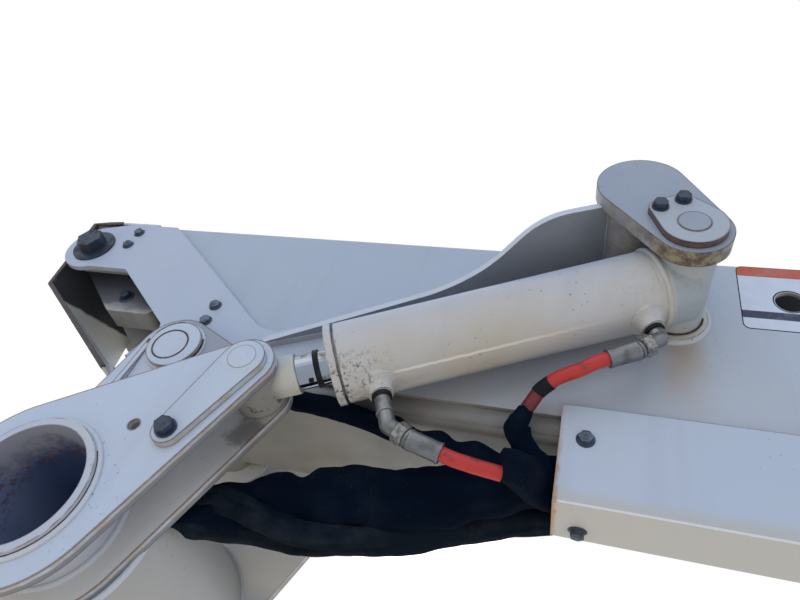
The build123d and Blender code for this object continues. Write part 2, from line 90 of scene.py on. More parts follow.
# ---------------- nodes
class Wire:
    """What a node puts out. Sums, products and comparisons of wires are nodes of the same tree."""

    def __init__(self, socket):
        self.socket, self.tree = socket, socket.id_data

    def maths(self, operation, other=0, other_first=False):
        node = self.tree.nodes.new("ShaderNodeMath")
        node.operation = operation
        for socket, value in zip(node.inputs, (other, self) if other_first else (self, other)):
            feed(socket, value)
        return Wire(node.outputs[0])

    def __add__(self, other):
        return self.maths("ADD", other)

    def __sub__(self, other):
        return self.maths("SUBTRACT", other)

    def __rsub__(self, other):
        return self.maths("SUBTRACT", other, other_first=True)

    def __mul__(self, other):
        return self.maths("MULTIPLY", other)

    def __gt__(self, other):
        return self.maths("GREATER_THAN", other)

    def __lt__(self, other):
        return self.maths("LESS_THAN", other)

    def __abs__(self):
        return self.maths("ABSOLUTE")

    def at_least(self, other):
        return self.maths("MAXIMUM", other)

    def between(self, low, high):
        return (self > low) * (self < high)

    def noise(self, scale, detail=3, roughness=0.5):
        values = {"Scale": scale, "Detail": detail, "Roughness": roughness}
        return put(self.tree, "ShaderNodeTexNoise", out="Fac", Vector=self, **values)


def feed(socket, value):
    """Links a wire to a socket, or sets the socket; a colour gets its alpha here."""
    if isinstance(value, Wire):
        socket.id_data.links.new(value.socket, socket)
    elif socket.type == "RGBA":
        socket.default_value = (*value, 1)
    else:
        socket.default_value = value


def put(tree, kind, settings=None, out=0, **wires):
    """A new node's output. Each wire feeds the input of that name, where _ stands for a space."""
    node = tree.nodes.new(kind)
    for name, value in (settings or {}).items():
        setattr(node, name, value)
    for label, value in wires.items():
        feed(node.inputs[label.replace("_", " ")], value)
    return Wire(node.outputs[out])


def vector_maths(operation, first, second):
    """A number that two vectors give."""
    node = first.tree.nodes.new("ShaderNodeVectorMath")
    node.operation = operation
    feed(node.inputs[0], first)
    feed(node.inputs[1], second)
    return Wire(node.outputs["Value"])


def blend(share, first, second, mode="MIX"):
    """A colour that goes from first to second as share goes from 0 to 1."""
    tree = next(value.tree for value in (share, first, second) if isinstance(value, Wire))
    node = tree.nodes.new("ShaderNodeMix")
    node.data_type, node.blend_type = "RGBA", mode
    for index, value in ((0, share), (6, first), (7, second)):
        feed(node.inputs[index], value)
    return Wire(node.outputs[2])


def ramp(value, low, high, to_low=0, to_high=1):
    """Smoothly from to_low to to_high while value goes from low to high."""
    return put(
        value.tree, "ShaderNodeMapRange", {"interpolation_type": "SMOOTHSTEP"},
        Value=value, From_Min=low, From_Max=high, To_Min=to_low, To_Max=to_high,
    )


def parts(vector):
    """x, y and z of a point or a way."""
    node = vector.tree.nodes.new("ShaderNodeSeparateXYZ")
    feed(node.inputs[0], vector)
    return [Wire(socket) for socket in node.outputs]


def point_in(tree):
    return put(tree, "ShaderNodeTexCoord", out="Object")


def facing(where):
    """x, y and z of the way that the face points."""
    return parts(put(where.tree, "ShaderNodeNewGeometry", out="Normal"))


def inputs_of(tree):
    """The inputs of a group's tree, by name."""
    return {socket.name: Wire(socket) for socket in tree.nodes.new("NodeGroupInput").outputs}


def effect(name, inputs, output):
    """An empty shader group: its point on the surface, its inputs by name, and the socket it ends in."""
    tree = bpy.data.node_groups.new(name, "ShaderNodeTree")
    for label, value in inputs:
        tree.interface.new_socket(label, in_out="INPUT", socket_type="NodeSocketFloat").default_value = value
    tree.interface.new_socket(output, in_out="OUTPUT", socket_type="NodeSocketFloat")
    return point_in(tree), inputs_of(tree), tree.nodes.new("NodeGroupOutput").inputs[0]


def use(where, group, **values):
    return put(where.tree, "ShaderNodeGroup", {"node_tree": group}, **values)


# ---------------- effects shared by the materials
def edge_wear_group():
    """A mask along sharp edges, broken up by noise."""
    where, given, end = effect("edge_wear", (("Width", 0.002), ("Amount", 0.5), ("Scale", 60)), "Mask")
    rounded = put(where.tree, "ShaderNodeBevel", {"samples": 6}, Radius=given["Width"])
    flat = put(where.tree, "ShaderNodeNewGeometry", out="Normal")
    edge = ramp(1 - vector_maths("DOT_PRODUCT", rounded, flat), 0.015, 0.16)
    patches = where.noise(given["Scale"], 4, 0.65)
    feed(end, edge * ramp(patches + (given["Amount"] - 0.5), 0.42, 0.62))
    return where.tree


def dust_and_warm_light_group():
    """Cloudy cream dust, thicker on what faces the ground, where it is also painted warm light from below."""
    where, given, end = effect("road_dust_and_warm_light", (("Amount", 0.4), ("Scale", 9)), "Mask")
    cloud = ramp(where.noise(given["Scale"], 6, 0.6), 0.35, 0.7)
    # Painted warm light from below: the mask grows on faces that look down
    feed(end, cloud * ramp(facing(where)[2], 0.25, -0.8, 0.35, 1) * given["Amount"])
    return where.tree


def specks_group():
    """Small dark chips and spots of dirt in loose clusters."""
    where, given, end = effect("specks", (("Amount", 0.5), ("Scale", 180)), "Mask")
    spots = put(where.tree, "ShaderNodeTexVoronoi", out="Distance", Vector=where, Scale=given["Scale"], Randomness=1)
    cluster = ramp(where.noise(14, 3), 0.48, 0.66)
    single = ramp(where.noise(given["Scale"], 1), 0.56, 0.6)
    feed(end, ramp(spots, 0.26, 0.12) * (cluster * single) * given["Amount"])
    return where.tree


def streaks_group():
    """Faint streaks where water has run down."""
    where, given, end = effect("water_streaks", (("Amount", 0.3), ("Scale", 30)), "Mask")
    drawn_out = put(where.tree, "ShaderNodeMapping", Vector=where, Scale=(1, 1, 0.08))
    feed(end, ramp(drawn_out.noise(given["Scale"], 3), 0.5, 0.72) * given["Amount"])
    return where.tree


def skin_group():
    """A height for sprayed paint: a fine orange peel over slow dents."""
    where, given, end = effect("paint_skin", (("Peel", 0.5), ("Scale", 420)), "Height")
    feed(end, where.noise(given["Scale"], 1) * given["Peel"] + where.noise(18, 1))
    return where.tree


def under_edge_group():
    """A mottled mask on a plate's edge faces where they look down, and none on its two flat sides."""
    where, given, end = effect("under_edge", (("Amount", 0.6), ("Scale", 55)), "Mask")
    nx, ny, nz = facing(where)
    patches = ramp(where.noise(given["Scale"], 5, 0.65), 0.3, 0.62)
    feed(end, ramp(abs(ny), 0.6, 0.25) * ramp(nz, 0.1, -0.35) * patches * given["Amount"])
    return where.tree


EDGE_WEAR, DUST_AND_WARM_LIGHT, SPECKS, STREAKS, SKIN = edge_wear_group(), dust_and_warm_light_group(), specks_group(), streaks_group(), skin_group()
UNDER_EDGE = under_edge_group()


# ---------------- paint, and the marks that one piece's paint has
WHITE = (0.575, 0.595, 0.635)
CREAM = (0.55, 0.515, 0.43)
# Pale cream that stands for painted light on faces in shade
LIT_CREAM = (0.95, 0.91, 0.80)
TAN = (0.42, 0.34, 0.24)
SHADED = (0.15, 0.155, 0.165)
STREAK = (0.40, 0.42, 0.47)
GRIME = (0.045, 0.045, 0.04)
GREASE = (0.035, 0.033, 0.032)
RUST = (0.19, 0.075, 0.028)
DARK_RUST = (0.055, 0.032, 0.022)


finish = {}


def bare_material(name, roughness=0.5, metallic=0):
    """A new material, kept under its name, its shader's inputs and the point on the surface."""
    material = finish[name] = bpy.data.materials.new(name)
    material.use_nodes = True
    inputs = material.node_tree.nodes["Principled BSDF"].inputs
    inputs["Roughness"].default_value = roughness
    inputs["Metallic"].default_value = metallic
    return material, inputs, point_in(material.node_tree)


def bumped(inputs, height, strength, distance):
    feed(inputs["Normal"], put(height.tree, "ShaderNodeBump", Height=height, Strength=strength, Distance=distance))


def white_paint(name, colour, rust, dust, specks, edge, under, peel, marks):
    """Sprayed paint with dust (thicker, as painted warm light, on faces that look down), dirt specks, water streaks,
    rust along its edges and one piece's own marks and painted light and shade.
    """
    material, inputs, where = bare_material(name)
    hue = blend(use(where, DUST_AND_WARM_LIGHT, Amount=dust), colour, CREAM)
    hue = blend(use(where, STREAKS, Amount=0.22), hue, STREAK)
    hue = blend(use(where, SPECKS, Amount=specks), hue, GRIME)
    if under:
        hue = blend(use(where, UNDER_EDGE, Amount=under), hue, TAN)
    wear = use(where, EDGE_WEAR, Width=edge * MM, Amount=rust, Scale=70)
    hue = blend(wear, hue, blend(where.noise(160), RUST, DARK_RUST))
    roughness = where.noise(25, 4) * 0.22 + 0.3
    if marks:
        hue, roughness = marks(where, hue, roughness)
    feed(inputs["Base Color"], hue)
    feed(inputs["Roughness"], roughness.at_least(wear * 0.9))
    bumped(inputs, use(where, SKIN, Peel=peel), 0.12, 0.0006)
    return material


def beyond_rod_pin(where, way):
    """How far a point lies from the rod's pin along a way, seen from the side."""
    x, y, z = parts(where)
    return (x - ROD_PIN_AT[0] * MM) * way.x + (z - ROD_PIN_AT[1] * MM) * way.z


# Depths of the bands of painted shade behind the near arris of the lever plate and of the main plate
SHADE_BANDS = (-0.1925, -0.1305)
ROD_EYE_FOOT = place(152, -140, 126)


def painted_shade_and_light_on_plates(where, hue, roughness):
    """Painted shade on the plates' lower edge faces, away from the near arris, and on the main plate under the lever,
    most round the rod eye's foot, with painted warm light low on that plate; then painted light on the far inner faces.
    """
    x, y, z = parts(where)
    nx, ny, nz = facing(where)
    depth = y + (where.noise(90, 4) - 0.5) * 0.003
    lever_band, main_band = (ramp(abs(depth - band), 0.0050, 0.0030) for band in SHADE_BANDS)
    lower_edge = (abs(ny) < 0.4) * (nz < 0.2)
    # Painted shade on the lower edge faces behind the near arris
    hue = blend((lever_band + main_band) * lower_edge * 0.8, hue, SHADED)
    under_lever = y.between(-0.1405, -0.1395) * (ny < -0.5)
    # Painted shade on the main plate under the lever, darker as it goes up and along
    hue = blend(under_lever * ramp(x + z, 0.15, 0.30, 0.06, 0.78) * 0.74, hue, (0.13, 0.13, 0.13))
    # Painted shade round the rod eye's foot, broken up by noise
    from_eye = vector_maths("DISTANCE", where, ROD_EYE_FOOT)
    shade_at_eye_foot = ramp(from_eye + where.noise(60, 5, 0.65) * 0.045, 0.050, 0.034)
    hue = blend(shade_at_eye_foot * under_lever * 0.6, hue, (0.030, 0.028, 0.026))
    # Painted warm light on the main plate's low strip under the lever
    low_strip = under_lever * ramp(z, 0.150, 0.175, 1, 0)
    hue = blend(low_strip, hue, (1.29, 1.13, 0.93), "MULTIPLY")
    return painted_light_inside(where, hue, roughness)


def painted_light_inside(where, hue, roughness):
    """Painted light: pale cream on the far plates' inner faces, fading in upwards."""
    x, y, z = parts(where)
    # Painted light on the far plates' inner faces
    inner = y.between(0.104, 0.1285) * (facing(where)[1] < -0.5) * ramp(z, 0.02, 0.07)
    return blend(inner * 0.9, hue, (0.90, 0.85, 0.75)), roughness


def darker_round_pin(where, hue, roughness):
    """A grey tint and dark blots on the rod's eye round its pin, fading out along its neck."""
    tint = ramp(beyond_rod_pin(where, run), 0.036, 0.018, 0, 0.85)
    hue = blend(tint, hue, (0.235, 0.225, 0.20))
    return blend(ramp(where.noise(75, 5, 0.65), 0.56, 0.66) * tint, hue, GREASE), roughness


def painted_shade_underneath(where, hue, roughness):
    """Painted shade: a grey darkening, a little mottled, where a plate faces down."""
    # Painted shade where the plate faces down
    tint = ramp(facing(where)[2], -0.4, -0.8) * ramp(where.noise(12, 4), 0.25, 0.75, 0.82, 1)
    return blend(tint, hue, (0.225, 0.240, 0.265)), roughness


def painted_shade_and_light_on_ram(where, hue, roughness):
    """Painted shade on the ram head's upper part, and painted cream light on its far half."""
    x, depth, height = parts(where)
    ragged = height + (where.noise(40, 5, 0.6) - 0.5) * 0.030
    far = depth > 0.02
    # Painted light: pale cream on the far half
    hue = blend(far, hue, LIT_CREAM)
    # Painted shade above a ragged line on the near half
    return blend(ramp(ragged, 0.330, 0.352, 0, 0.9) * (1 - far), hue, (0.060, 0.062, 0.085)), roughness


def rust_under_plate(where, hue, roughness):
    """Thick rust, with yellow growth in it, on a plate's edge faces where water hangs."""
    nx, ny, nz = facing(where)
    x, y, z = parts(where)
    edge = (abs(ny) < 0.5) * ramp(nz, -0.1, -0.6)
    brown = ramp(where.noise(75, 6, 0.7), 0.40, 0.60)
    reach = ramp(x, 0.515, 0.565, 0.35, 1) * ramp(where.noise(26, 5, 0.6), 0.32, 0.50)
    return blend(edge * reach * 0.9, hue, blend(brown, (0.30, 0.25, 0.13), (0.085, 0.036, 0.020))), roughness


def rust_round_retainer(where, hue, roughness):
    """Dark rust all round the retainer's edge faces."""
    edge = abs(facing(where)[1]) < 0.5
    dark = ramp(where.noise(90, 5, 0.7), 0.40, 0.62)
    return blend(edge * 0.92, hue, blend(dark, (0.10, 0.042, 0.024), (0.030, 0.020, 0.018))), roughness


def cover_rust_and_painted_light(where, hue, roughness):
    """Rust that has crept in from the cover's open end, painted warm light that fades up from its bend, and a painted
    highlight along the bend.
    """
    x, y, z = parts(where)
    # Painted warm light from below, fading up from the bend
    dust = z + (where.noise(22, 4) - 0.5) * 0.008
    hue = blend(ramp(dust, 0.146, 0.128, 0, 0.85), hue, (0.53, 0.50, 0.435))
    # A painted highlight along the bend
    bend = z.between(0.1242, 0.1268)
    hue = blend(bend * 0.8, hue, (0.80, 0.78, 0.70))
    creep = ramp(x - where.noise(60, 4, 0.6) * 0.011, 0.4715, 0.4660)
    return blend(creep * ramp(z, 0.225, 0.150, 0.2, 0.9), hue, (0.42, 0.24, 0.10)), roughness


BOSS_STAIN_X = 0.592


def boom_marks(where, hue, roughness):
    """Darker and bluer towards the tail, a tan stain below the base pin's boss, painted shade with a tan mottle
    underneath, and painted shade inside the box.
    """
    x, y, z = parts(where)
    hue = blend(1, hue, blend(ramp(x, 0.15, 0.60), (0.69, 0.75, 0.80), (0.84, 0.87, 0.89)), "MULTIPLY")
    # Painted shade underneath, in a mottle of tans
    tan_mottle = ramp(where.noise(16, 5, 0.6), 0.3, 0.7)
    underneath = facing(where)[2] < -0.3
    hue = blend(underneath * 0.92, hue, blend(tan_mottle, (0.165, 0.147, 0.118), (0.265, 0.24, 0.205)))
    # Painted shade inside the box
    inside = (abs(y) < 0.1005) * z.between(0.2085, 0.4885)
    hue = blend(inside * 0.93, hue, (0.018, 0.020, 0.026))
    aside = abs(x + (where.noise(22, 4) - 0.5) * 0.05 - BOSS_STAIN_X)
    column = ramp(aside, 0.040, 0.004) * (y < -0.05) * ramp(z, 0.365, 0.34)
    hue = blend(column * ramp(z, 0.225, 0.34) * 0.75, hue, (0.40, 0.30, 0.20))
    low = ramp(z, 0.33, 0.225) * ramp(where.noise(5, 3), 0.3, 0.6)
    return blend(low * 0.6, hue, (0.50, 0.475, 0.42)), roughness


def painted_shade_and_light_in_hood(where, hue, roughness):
    """Painted cream light on the hood's inner face, and painted shade on it above a slanting line."""
    x, y, z = parts(where)
    shade_line = z - (y + 0.071) * 0.40 + where.noise(14, 3) * 0.018
    faces_in = ramp(facing(where)[0], 0.4, 0.8)
    # Painted light: pale cream on the inner face
    hue = blend(faces_in * 0.9, hue, LIT_CREAM)
    # Painted shade above the slanting line
    return blend(ramp(shade_line, 0.347, 0.352) * faces_in * 0.93, hue, (0.012, 0.016, 0.030)), roughness


def mildew_and_painted_light_on_barrel(where, hue, roughness):
    """Painted cool light on the barrel's top and warm light on its lower half, painted shade under it towards the boom,
    a pale paint run along it that goes on as a painted highlight, and black mildew low at its head end.
    """
    x, y, z = parts(where)
    station, drop = beyond_rod_pin(where, run), beyond_rod_pin(where, down)
    # Painted light: cooler on top and warm on the lower half
    hue = blend(1, hue, blend(ramp(drop, -0.034, 0), (0.88, 0.90, 0.93), (0.90, 0.84, 0.76)), "MULTIPLY")
    # Painted shade on the lower half's side towards the boom
    shaded_underside = ramp(y, -0.157, -0.135) * (drop > 0)
    hue = blend(shaded_underside * 0.7, hue, (0.17, 0.17, 0.185))
    behind_base_weld = ramp(station, 0.452, 0.460)
    hue = blend(behind_base_weld, hue, (0.36, 0.40, 0.415))
    # A pale paint run, carried on towards the base as a painted highlight
    paint_run_and_highlight = (y + where.noise(90, 4) * 0.003).between(-0.1795, -0.1765) * (drop > 0.02)
    paint_run_and_highlight = paint_run_and_highlight * (ramp(station, 0.145, 0.160) * ramp(station, 0.43, 0.20))
    hue = blend(paint_run_and_highlight * 0.75, hue, (0.84, 0.80, 0.70))
    near_head = ramp(station, 0.175, 0.092) * ramp(drop, 0.014, 0.038)
    near_base = ramp(station, 0.36, 0.44) * ramp(drop, -0.02, 0.03) * 0.14
    blotch = ramp(where.noise(210, 6, 0.7), 0.50, 0.60)
    cloud = ramp(where.noise(48, 4, 0.6), 0.38, 0.56)
    return blend(blotch * cloud * near_head.at_least(near_base) * 0.9, hue, (0.030, 0.032, 0.020)), roughness


def rust_and_painted_sky_in_tube(where, hue, roughness):
    """Bare rust down the cross tube's bore over painted blue sky light, lighter where the bore's face looks up, with
    paint mist round its near mouth.
    """
    x, y, z = parts(where)
    inside = ramp((x * x + z * z).maths("SQRT"), 0.0628, 0.0620)
    depth = y + where.noise(45, 5, 0.7) * 0.09
    rusting = ramp(where.noise(130, 5, 0.7), 0.44, 0.62) * ramp(depth, -0.085, -0.125)
    # Painted blue sky light in the bore, lighter where the face looks up
    tint = blend(ramp(facing(where)[2], -0.8, 0.1), (0.055, 0.095, 0.21), (0.24, 0.29, 0.42))
    rust_over_sky = blend(rusting, tint, (0.11, 0.045, 0.028))
    primed = blend(ramp(depth, -0.150, -0.110), (0.34, 0.34, 0.38), rust_over_sky)
    return blend(inside, hue, primed), roughness.at_least(inside * 0.85)


# ---------------- other finishes
def soiled_steel(name, colour, dirt, roughness, metallic, grain):
    """Plated steel, dulled and dirty in patches."""
    material, inputs, where = bare_material(name, metallic=metallic)
    patches = ramp(where.noise(grain, 5, 0.6), 0.42, 0.66)
    worn = use(where, EDGE_WEAR, Width=0.0008, Amount=0.62, Scale=300)
    bright = tuple(min(1, c * 1.7) for c in colour)
    feed(inputs["Base Color"], blend(worn, blend(patches, colour, dirt), bright))
    feed(inputs["Roughness"], patches * 0.3 + roughness)
    bumped(inputs, where.noise(500, 3), 0.15, 0.0004)
    return material


def chrome_rod(name):
    """Hard chrome with a greasy rusty film in patches."""
    material, inputs, where = bare_material(name, metallic=1)
    tint = ramp(where.noise(60, 5), 0.5, 0.75)
    feed(inputs["Base Color"], blend(tint, (0.34, 0.38, 0.45), (0.10, 0.08, 0.06)))
    feed(inputs["Roughness"], ramp(tint, 0, 1, 0.08, 0.4))
    return material


def rubber_hose(name):
    """Red hose cover with a cloth-wrap texture and rubbed dirt, and one dark aged stretch."""
    material, inputs, where = bare_material(name)
    dirt = ramp(where.noise(85, 5), 0.48, 0.8)
    hue = blend(dirt, (0.50, 0.026, 0.022), (0.20, 0.016, 0.018))
    z = parts(where)[2]
    aged = ramp(z, 0.236, 0.231) * (z > 0.19)
    feed(inputs["Base Color"], blend(aged * 0.8, hue, (0.085, 0.016, 0.022)))
    feed(inputs["Roughness"], ramp(dirt, 0, 1, 0.34, 0.6))
    bumped(inputs, where.noise(900, 2), 0.3, 0.0003)
    return material


def woven_sleeve(name, colour, dust):
    """Black woven nylon: a fine weave along the sleeve's own map, dusty on its folds."""
    material, inputs, where = bare_material(name, roughness=0.85)
    thread = put(where.tree, "ShaderNodeUVMap", {"uv_map": "along"})
    warp, weft = (
        put(where.tree, "ShaderNodeTexWave", {"bands_direction": way}, out="Fac", Vector=thread, Scale=260)
        for way in "XY"
    )
    dusty = ramp(where.noise(16, 6, 0.65), 0.44, 0.72)
    lint = use(where, SPECKS, Amount=0.5, Scale=340)
    feed(inputs["Base Color"], blend(lint, blend(dusty * 0.8, colour, dust), (0.07, 0.07, 0.07)))
    inputs["Specular IOR Level"].default_value = 0.06
    bumped(inputs, warp * weft * 0.12 + where.noise(38, 4), 0.5, 0.0025)
    return material


def scuffed_plastic(name):
    material, inputs, where = bare_material(name)
    scuffs = ramp(where.noise(140, 4), 0.5, 0.75)
    feed(inputs["Base Color"], blend(scuffs, (0.012, 0.012, 0.014), (0.03, 0.032, 0.038)))
    feed(inputs["Roughness"], ramp(scuffs, 0, 1, 0.42, 0.62))
    inputs["Specular IOR Level"].default_value = 0.12
    bumped(inputs, scuffs, 0.15, 0.0004)
    return material


PANEL_HEAD, PANEL_BAR, PANEL_BAR_FOOT = 472, 412.5, 400.5


def blank_panel(name):
    """A blank adhesive panel: a plain orange-red head and a navy bar, faded and dusty."""
    material, inputs, where = bare_material(name, roughness=0.38)
    height = parts(where)[2]
    hue = blend(height > PANEL_HEAD * MM, (0.66, 0.70, 0.76), (0.52, 0.085, 0.04))
    hue = blend(height.between(PANEL_BAR_FOOT * MM, PANEL_BAR * MM), hue, (0.012, 0.022, 0.07))
    faded = ramp(where.noise(60, 4), 0.4, 0.7) * 0.16
    feed(inputs["Base Color"], blend(faded, hue, (0.45, 0.44, 0.42)))
    return material


# Name, colour, rust, dust with painted warm light below, specks, width of edge rust in mm, tan under edges, orange
# peel, own marks and painted light and shade, CAD nodes
PAINTS = (
    ("paint_boom", WHITE, 0.45, 0.3, 0.25, 2.4, 0.5, 0.4, boom_marks, "boom_box pivot_sleeve"),
    ("paint_boss", (0.60, 0.565, 0.49), 0.6, 0.8, 0.8, 2, 0, 0.4, None, "base_boss"),
    ("paint_plate", (0.43, 0.475, 0.55), 0.4, 0.3, 0.4, 2.4, 0.35, 0.4, painted_light_inside,
     "tail_plate_near tail_plate_far cover_bracket_1 cover_bracket_2"),
    ("paint_gusset", WHITE, 0.4, 0.3, 0.4, 2.4, 0, 0.4, painted_shade_underneath, "gusset"),
    ("paint_hood", WHITE, 0.5, 0.5, 0.6, 2.4, 0, 0.4, painted_shade_and_light_in_hood, "tail_hood"),
    ("paint_ram", (0.34, 0.34, 0.33), 0.5, 0.9, 0.9, 2.4, 0.4, 0.4, painted_shade_and_light_on_ram, "extension_ram"),
    ("paint_knuckle", (0.51, 0.56, 0.635), 0.72, 0.3, 0.5, 4.6, 0.8, 0.4, painted_shade_and_light_on_plates,
     "lever_plate main_plate_near main_plate_far web_gusset pivot_pin rod_pin"),
    ("paint_strap", (0.50, 0.55, 0.61), 0.72, 0.3, 0.4, 3.6, 0.8, 0.4, None, "pin_strap"),
    ("paint_rod_eye", (0.47, 0.455, 0.425), 0.5, 0.8, 1, 1.8, 0, 0.4, darker_round_pin, "rod_eye"),
    ("paint_base_eye", (0.40, 0.43, 0.445), 0.4, 0.4, 0.9, 1.8, 0, 0.4, None, "base_eye"),
    ("paint_dome", (0.505, 0.55, 0.605), 0.1, 0.2, 0.2, 0.5, 0, 0.4, None, ""),
    ("paint_drum", (0.425, 0.405, 0.37), 0.5, 0.6, 0.5, 2.4, 0, 0.4, None, "hub_drum"),
    ("paint_cross_tube", (0.50, 0.515, 0.55), 0.55, 0.3, 0.4, 2.4, 0, 0.4, rust_and_painted_sky_in_tube, "cross_tube"),
    ("paint_cylinder", WHITE, 0.5, 0.9, 0.7, 1.8, 0, 0.7, mildew_and_painted_light_on_barrel, "barrel_tube gland"),
    ("paint_cover", (0.50, 0.55, 0.62), 0.6, 0.2, 0.3, 2, 0, 0.4, cover_rust_and_painted_light, "hose_cover"),
    ("paint_cap", (0.29, 0.33, 0.39), 0.66, 0.35, 0.7, 3, 0.4, 0.4, rust_under_plate, "cap_post cap_plate base_pin"),
    ("paint_retainer", (0.40, 0.43, 0.475), 0.75, 0.4, 0.6, 3.4, 0, 0.4, rust_round_retainer, "pin_retainer"),
    ("paint_weld", WHITE, 0.5, 0.7, 0.6, 0.8, 0, 1, None, ""),
    ("paint_seam", (0.40, 0.43, 0.49), 0.2, 0.3, 0.3, 0.6, 0, 0.4, None, ""),
)

# Name, colour, dirt's colour, roughness, metallic, scale of the dirt, CAD nodes
STEELS = (
    ("dark_plated_steel", (0.10, 0.145, 0.20), (0.07, 0.07, 0.075), 0.40, 0.55, 90, ""),
    ("tail_bolt_steel", (0.033, 0.056, 0.092), (0.042, 0.040, 0.040), 0.42, 0.5, 90,
     "tail_bolt tail_nut tail_washer_near tail_washer_far"),
    ("black_steel", (0.036, 0.055, 0.090), (0.035, 0.038, 0.045), 0.28, 0.4, 90,
     "strap_bolt retainer_bolt_1 retainer_bolt_2"),
    ("fitting_steel", (0.21, 0.22, 0.23), (0.15, 0.15, 0.15), 0.28, 0.8, 60, "fitting_a fitting_b"),
    ("nut_steel", (0.30, 0.30, 0.285), (0.13, 0.12, 0.11), 0.30, 0.7, 200, ""),
    ("rust_line", (0.085, 0.040, 0.020), (0.028, 0.018, 0.014), 0.85, 0, 220, ""),
    ("worn_hood_edge", (0.050, 0.046, 0.045), (0.13, 0.10, 0.08), 0.6, 0.1, 60, ""),
)


def dress(material, nodes):
    """Gives a material to CAD nodes."""
    for name in nodes.split():
        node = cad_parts[name]
        if not node.material_slots:
            node.data.materials.append(material)
        for slot in node.material_slots:
            slot.material = material


for *paint, nodes in PAINTS:
    dress(white_paint(*paint), nodes)
for *steel, nodes in STEELS:
    dress(soiled_steel(*steel), nodes)
dress(chrome_rod("rod_chrome"), "piston_rod")
dress(rubber_hose("red_hose_cover"), "hose_a hose_b")
dress(woven_sleeve("black_sleeve_cloth", (0.0012, 0.0046, 0.0130), (0.0055, 0.0110, 0.0210)), "hose_sleeve sleeve_low")
dress(woven_sleeve("worn_sleeve_cloth", (0.0050, 0.0092, 0.0160), (0.022, 0.027, 0.035)), "")
dress(scuffed_plastic("black_plastic"), "rod_tie")
dress(blank_panel("blank_panel"), "")


# ---------------- pieces in general
def in_scene(name, data):
    thing = bpy.data.objects.new(name, data)
    bpy.context.scene.collection.objects.link(thing)
    return thing


def as_mesh(name, data):
    """The mesh that a curve, or a mesh under its modifiers, comes out as."""
    carrier = in_scene(name, data)
    mesh = bpy.data.meshes.new_from_object(carrier.evaluated_get(bpy.context.evaluated_depsgraph_get()))
    bpy.data.objects.remove(carrier)
    return mesh


def new_piece(name, mesh, body, material=None):
    """An object at the origin for a finished mesh. It rides on its body, if it has one."""
    piece = in_scene(name, mesh)
    if material:
        mesh.materials.clear()
        mesh.materials.append(finish[material])
    if body:
        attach(piece, body)
    return piece


def mesh_from(name, rings):
    """A closed skin over rings of as many points each, with clean faces pointing outwards."""
    work = bmesh.new()
    rings = [[work.verts.new(point) for point in ring] for ring in rings]
    for low, high in zip(rings, rings[1:]):
        for i in range(len(low)):
            j = (i + 1) % len(low)
            work.faces.new((low[i], low[j], high[j], high[i]))
    work.faces.new(rings[0])
    work.faces.new(rings[-1])
    bmesh.ops.remove_doubles(work, verts=work.verts, dist=1e-6)
    bmesh.ops.recalc_face_normals(work, faces=work.faces)
    mesh = bpy.data.meshes.new(name)
    work.to_mesh(mesh)
    work.free()
    return mesh


def smooth(mesh, angle=35):
    mesh.shade_smooth()
    mesh.set_sharp_from_angle(angle=radians(angle))
    return mesh


def grown(name, tree, base, values, body, material, second=None):
    """Runs a Geometry Nodes tree on a base mesh and keeps the result as a plain piece."""
    seed = in_scene(name + "_seed", base)
    modifier = seed.modifiers.new("grow", "NODES")
    modifier.node_group = tree
    sockets = {item.name: item.identifier for item in tree.interface.items_tree if item.in_out == "INPUT"}
    finishes = {"Material": finish[material], "Second Material": finish[second or material]}
    for label, value in {**values, **finishes}.items():
        modifier[sockets[label]] = value
    mesh = bpy.data.meshes.new_from_object(seed.evaluated_get(bpy.context.evaluated_depsgraph_get()))
    seed.modifiers.remove(modifier)
    bpy.data.objects.remove(seed)
    mesh.name = name
    return new_piece(name, mesh, body)


def geometry_tree(name, inputs):
    """An empty Geometry Nodes tree: itself, its inputs by name, and the socket it ends in."""
    tree = bpy.data.node_groups.new(name, "GeometryNodeTree")
    tree.interface.new_socket("Geometry", in_out="INPUT", socket_type="NodeSocketGeometry")
    for label, value in inputs:
        tree.interface.new_socket(label, in_out="INPUT", socket_type="NodeSocketFloat").default_value = value
    for label in ("Material", "Second Material"):
        tree.interface.new_socket(label, in_out="INPUT", socket_type="NodeSocketMaterial")
    tree.interface.new_socket("Geometry", in_out="OUTPUT", socket_type="NodeSocketGeometry")
    return tree, inputs_of(tree), tree.nodes.new("NodeGroupOutput").inputs[0]


def coat(geometry, material):
    return put(geometry.tree, "GeometryNodeSetMaterial", Geometry=geometry, Material=material)


def lifted(geometry, height):
    up = put(geometry.tree, "ShaderNodeCombineXYZ", Z=height)
    return put(geometry.tree, "GeometryNodeTransform", Geometry=geometry, Translation=up)


# ---------------- small flange bolts
HEX_CORNER = 0.5 / cos(pi / 6)
SPIN_STEP = 0.37


